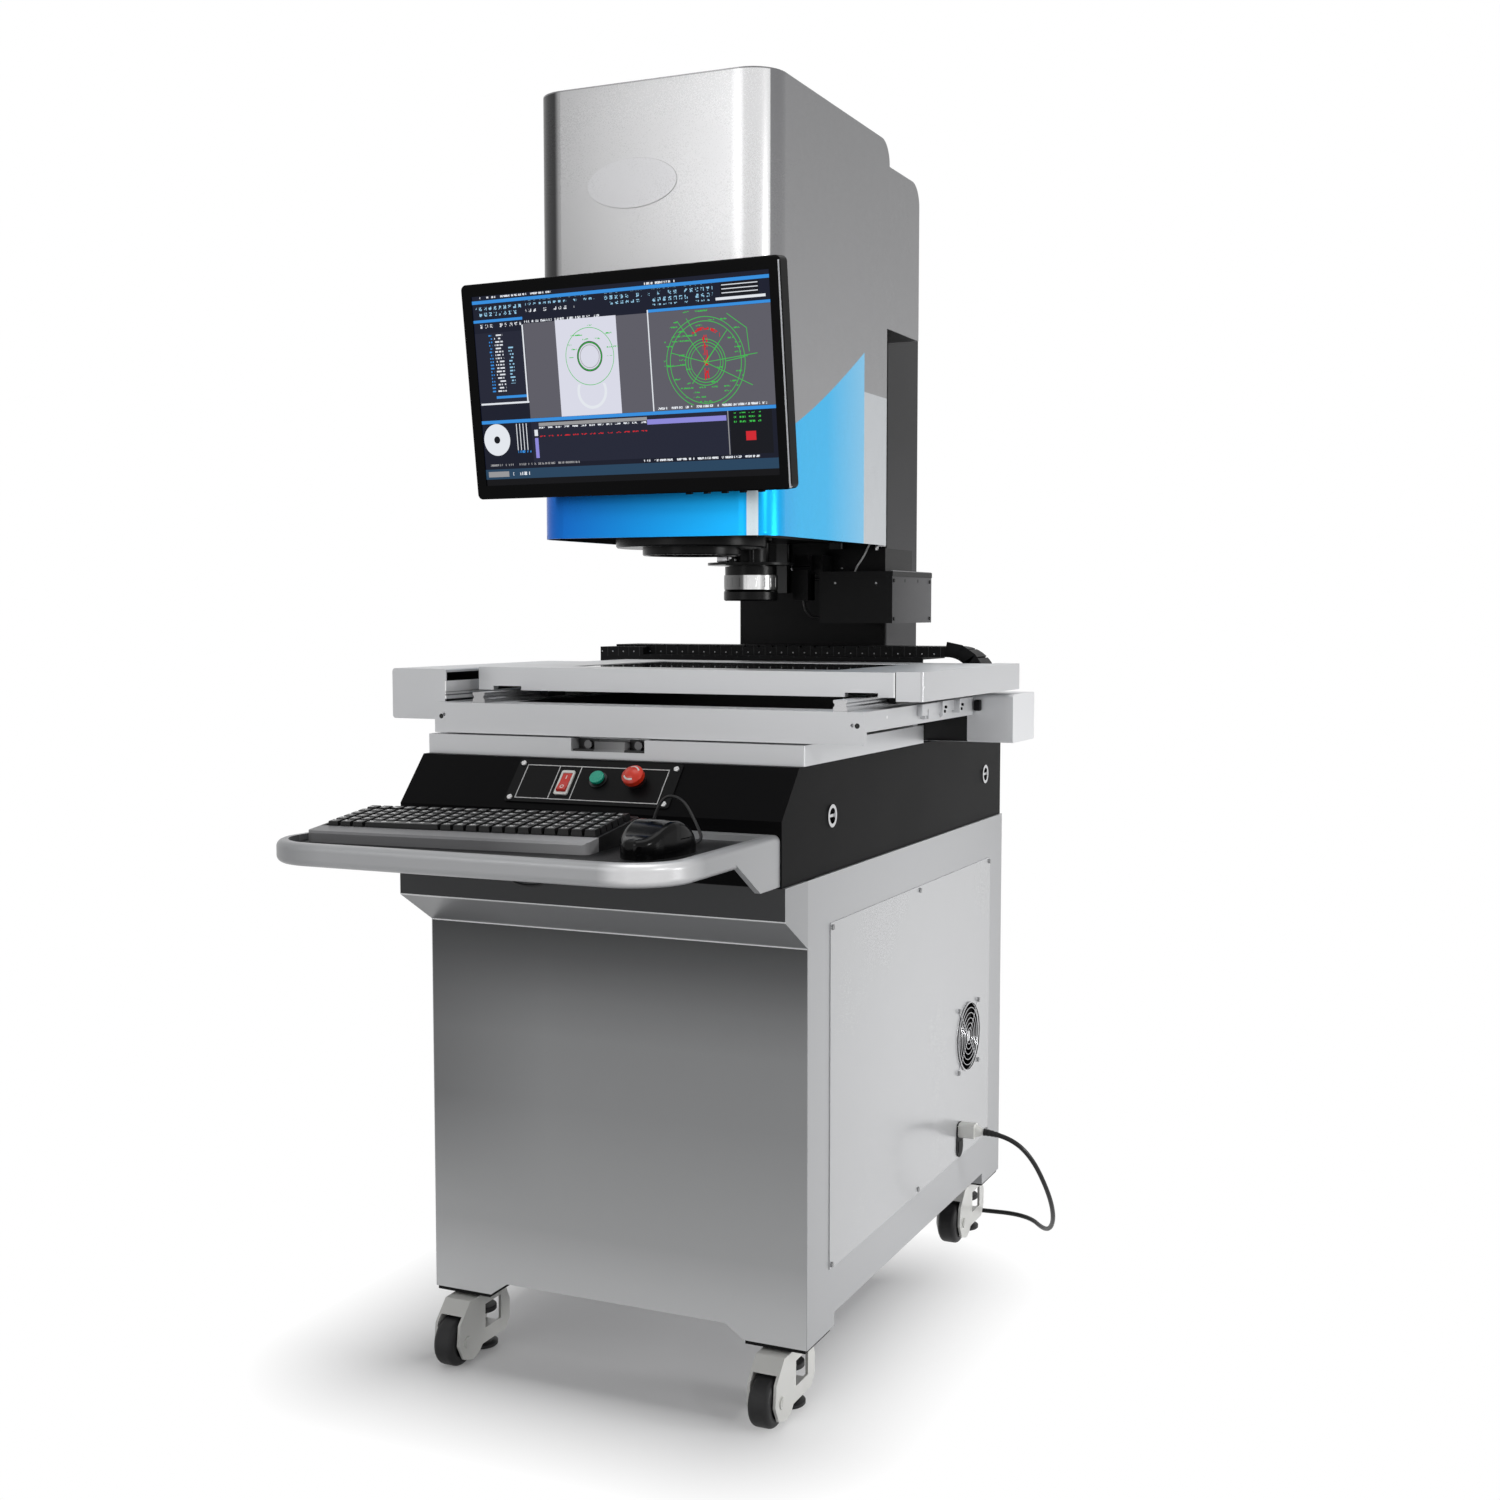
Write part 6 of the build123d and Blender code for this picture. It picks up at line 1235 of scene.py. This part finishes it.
# small fittings: clamp, stop pin and cable clip beside the lenses, then the lugs on the right of the middle stage
clampMetal = brushed("clampMetal", {
    "colour": grey(206, 2), "metallic": 0.7, "roughness": 0.3, "lines": (0.8, 0.8, 0.8), "relief": 40, "change": 0.12,
})
fittings = [
    {"name": "lensClamp", "body": "head_carriage", "finish": clampMetal, "slot": "bright_steel", "shapes": [
        (block, (-44, 442, 1187), (-26, 456, 1199)), (block, (-30, 444, 1189), (-12, 456, 1193)),
        (rod, (-40, 449, 1199), (-40, 449, 1203), 4.0), (rod, (-19, 438, 1194), (-19, 458, 1194), 3.0),
    ]},
    {"name": "stopPin", "body": "head_carriage", "finish": clampMetal, "slot": "bright_steel", "shapes": [
        (rod, (29, 590, 1179), (59, 590, 1179), 1.4), (rod, (24, 590, 1179), (30, 590, 1179), 3.2),
    ]},
    {"name": "cableClip", "body": "machine", "finish": clampMetal, "slot": "bright_steel", "shapes": [
        (block, (170, 597, 1208), (174, 603, 1217)), (block, (170, 597, 1214), (186, 603, 1217)),
    ]},
    {"name": "sideLugs", "body": "middle_stage", "finish": satin, "slot": "anodised", "shapes": [
        (block, (378, 212, 960), (386, 296, 977)), (block, (378, 292, 957), (390, 297, 978)),
        (block, (378, 300, 962), (382, 372, 977)), (block, (378, 371, 957.5), (390, 376, 978)),
    ]},
    {"name": "lugScrews", "body": "middle_stage", "finish": mattBlack, "slot": "black_plastic", "shapes": [
        (rod, (388, 301, 963), (391, 301, 963), 2.2), (rod, (388, 307, 969), (391, 307, 969), 2.2),
        (rod, (388, 380, 963), (391, 380, 963), 2.2), (rod, (388, 386, 969), (391, 386, 969), 2.2),
        (block, (380, 470, 955), (390, 486, 972), 2.0),
    ]},
]


def makeFitting(look):
    piece = join([shape(*sizes) for shape, *sizes in look["shapes"]], look["name"])
    settle(piece, look["body"], look["finish"])


# side plates of the links round the chain's half turn, every second one a little thinner
links = {
    "x": 285, "z": 990, "front": 626.4, "radius": 55, "long": 27, "tall": 24, "thick": 1.5, "thinner": 0.2,
    "count": 8, "soften": 0.5,
}


def makeLinks(look):
    plates = []
    for index in range(look["count"]):
        angle = math.radians(90 - 180 * (index + 0.5) / look["count"])
        x, z = look["x"] + look["radius"] * math.cos(angle), look["z"] + look["radius"] * math.sin(angle)
        rear = look["front"] + look["thick"] - look["thinner"] * (index % 2)
        plates.append(block(
            (x - look["long"] / 2, look["front"], z - look["tall"] / 2),
            (x + look["long"] / 2, rear, z + look["tall"] / 2), look["soften"], (0, 90 - math.degrees(angle), 0),
        ))
    settle(join(plates, "chainLinks"), "machine", mattBlack)


# caps over the openings that the square cut of the flange leaves in the head's round lower front corners
cap = {
    "corner": (142, 171), "reach": 48.6, "half": 4.5, "thick": 1.15, "low": 1215.1, "high": 1220.6, "soften": 0.15,
}


def makeCaps(look):
    caps = []
    for side in (-1, 1):
        x = side * (look["corner"][0] + look["reach"] * math.sqrt(0.5))
        y = look["corner"][1] - look["reach"] * math.sqrt(0.5)
        caps.append(block(
            (x - look["half"], y - look["thick"], look["low"]), (x + look["half"], y + look["thick"], look["high"]),
            look["soften"], (0, 0, side * 45),
        ))
    settle(join(caps, "reliefCaps"), "machine", headFinishAndLight)


makeCaps(cap)
makeGuard(guard)
for name, places in zip(("inletSleeve", "plugSleeve"), sleevePlaces(wholeRoute, sleeve)):
    makeSleeve(name, places, sleeve)
for fitting in fittings:
    makeFitting(fitting)
makeLinks(links)
print("small pieces made")


room = {
    "floor": grey(244, 1), "size": 60, "air": 0.22, "glow": 0.1, "fade": 0.26, "curve": 0.8,
    "left": -0.33, "right": 0.17, "front": -0.27, "rear": 0.3,
}
bpy.ops.mesh.primitive_plane_add(size=room["size"], location=(0, 0, 0))
floor = bpy.context.object
floor.name = "floor"
floorShade = Shade("paleFloor", Roughness=0.6, Specular_IOR_Level=0.3)
mottle = floorShade.noise(floorShade.place(), 0.002, 2.0)
floorShade.colour(floorShade.mix(mottle, shaded(room["floor"], 0.99), room["floor"]))


def seenRays(shade):
    # 1 on rays from the camera, in reflections and through glass
    rays = shade.node("ShaderNodeLightPath", output="Is Camera Ray")
    kinds = rays.socket.node.outputs
    for kind in ("Is Glossy Ray", "Is Transmission Ray"):
        rays = rays.either(Wire(shade, kinds[kind]))
    return rays


def brightenFloor(shade, look):
    # the floor turns to the white of the background away from the machine and keeps its shadow near it
    x, y = shade.parts(shade.node("ShaderNodeTexCoord", output="Object"))[:2]
    outX = (look["left"] - x).either(x - look["right"]).either(0.0)
    outY = (look["front"] - y).either(y - look["rear"]).either(0.0)
    fade = distance(outX, outY).ramp(0.0, look["fade"]).step("POWER", look["curve"])
    share = fade * (1 - look["glow"]) + look["glow"]
    glow = shade.node("ShaderNodeEmission", None, {"Color": (1, 1, 1, 1), "Strength": 1.0})
    blend = shade.node("ShaderNodeMixShader", None, {
        0: share * seenRays(shade), 1: Wire(shade, shade.bsdf.outputs[0]), 2: glow,
    })
    shade.tree.links.new(blend.socket, shade.tree.nodes["Material Output"].inputs["Surface"])


brightenFloor(floorShade, room)
floor.data.materials.append(floorShade.material)

world = bpy.data.worlds.new("studioAir")
bpy.context.scene.world = world
world.use_nodes = True
world.node_tree.nodes.clear()
air = Tree(world.node_tree)
felt, seen = (
    air.node("ShaderNodeBackground", None, {"Color": (1, 1, 1, 1), "Strength": strength})
    for strength in (room["air"], 1.0)
)
choose = air.node("ShaderNodeMixShader", None, {0: seenRays(air), 1: felt, 2: seen})
sky = air.tree.nodes.new("ShaderNodeOutputWorld")
air.tree.links.new(choose.socket, sky.inputs["Surface"])

lamps = {
    "headFront": {"place": (-1.2, -3.2, 2.5), "aim": (0.0, -0.15, 1.5), "size": 1.0, "power": 1.8, "spread": 60},
    "cabinetSide": {"place": (3.0, 0.5, 0.8), "aim": (0.27, 0.2, 0.4), "size": 1.0, "power": 3.2, "spread": 36},
    "above": {"place": (0.2, -0.5, 4.2), "aim": (0, 0, 0.9), "size": 2.2, "power": 30, "spread": 180},
    "fill": {"place": (-0.8, -4.2, 1.0), "aim": (0, -0.2, 0.6), "size": 1.6, "power": 9, "spread": 180},
    "edge": {"place": (2.7, -1.35, 1.9), "aim": (0.15, -0.1, 1.6), "size": 0.25, "power": 2.2, "spread": 70},
}
for name, lamp in lamps.items():
    aim = Vector(lamp["aim"]) - Vector(lamp["place"])
    bpy.ops.object.light_add(type="AREA", location=lamp["place"], rotation=aim.to_track_quat("-Z", "Y").to_euler())
    light = bpy.context.object
    light.name = name
    light.data.size = lamp["size"]
    light.data.energy = lamp["power"]
    light.data.spread = math.radians(lamp["spread"])
bpy.context.scene.view_settings.view_transform = "Standard"
print("light and floor done")
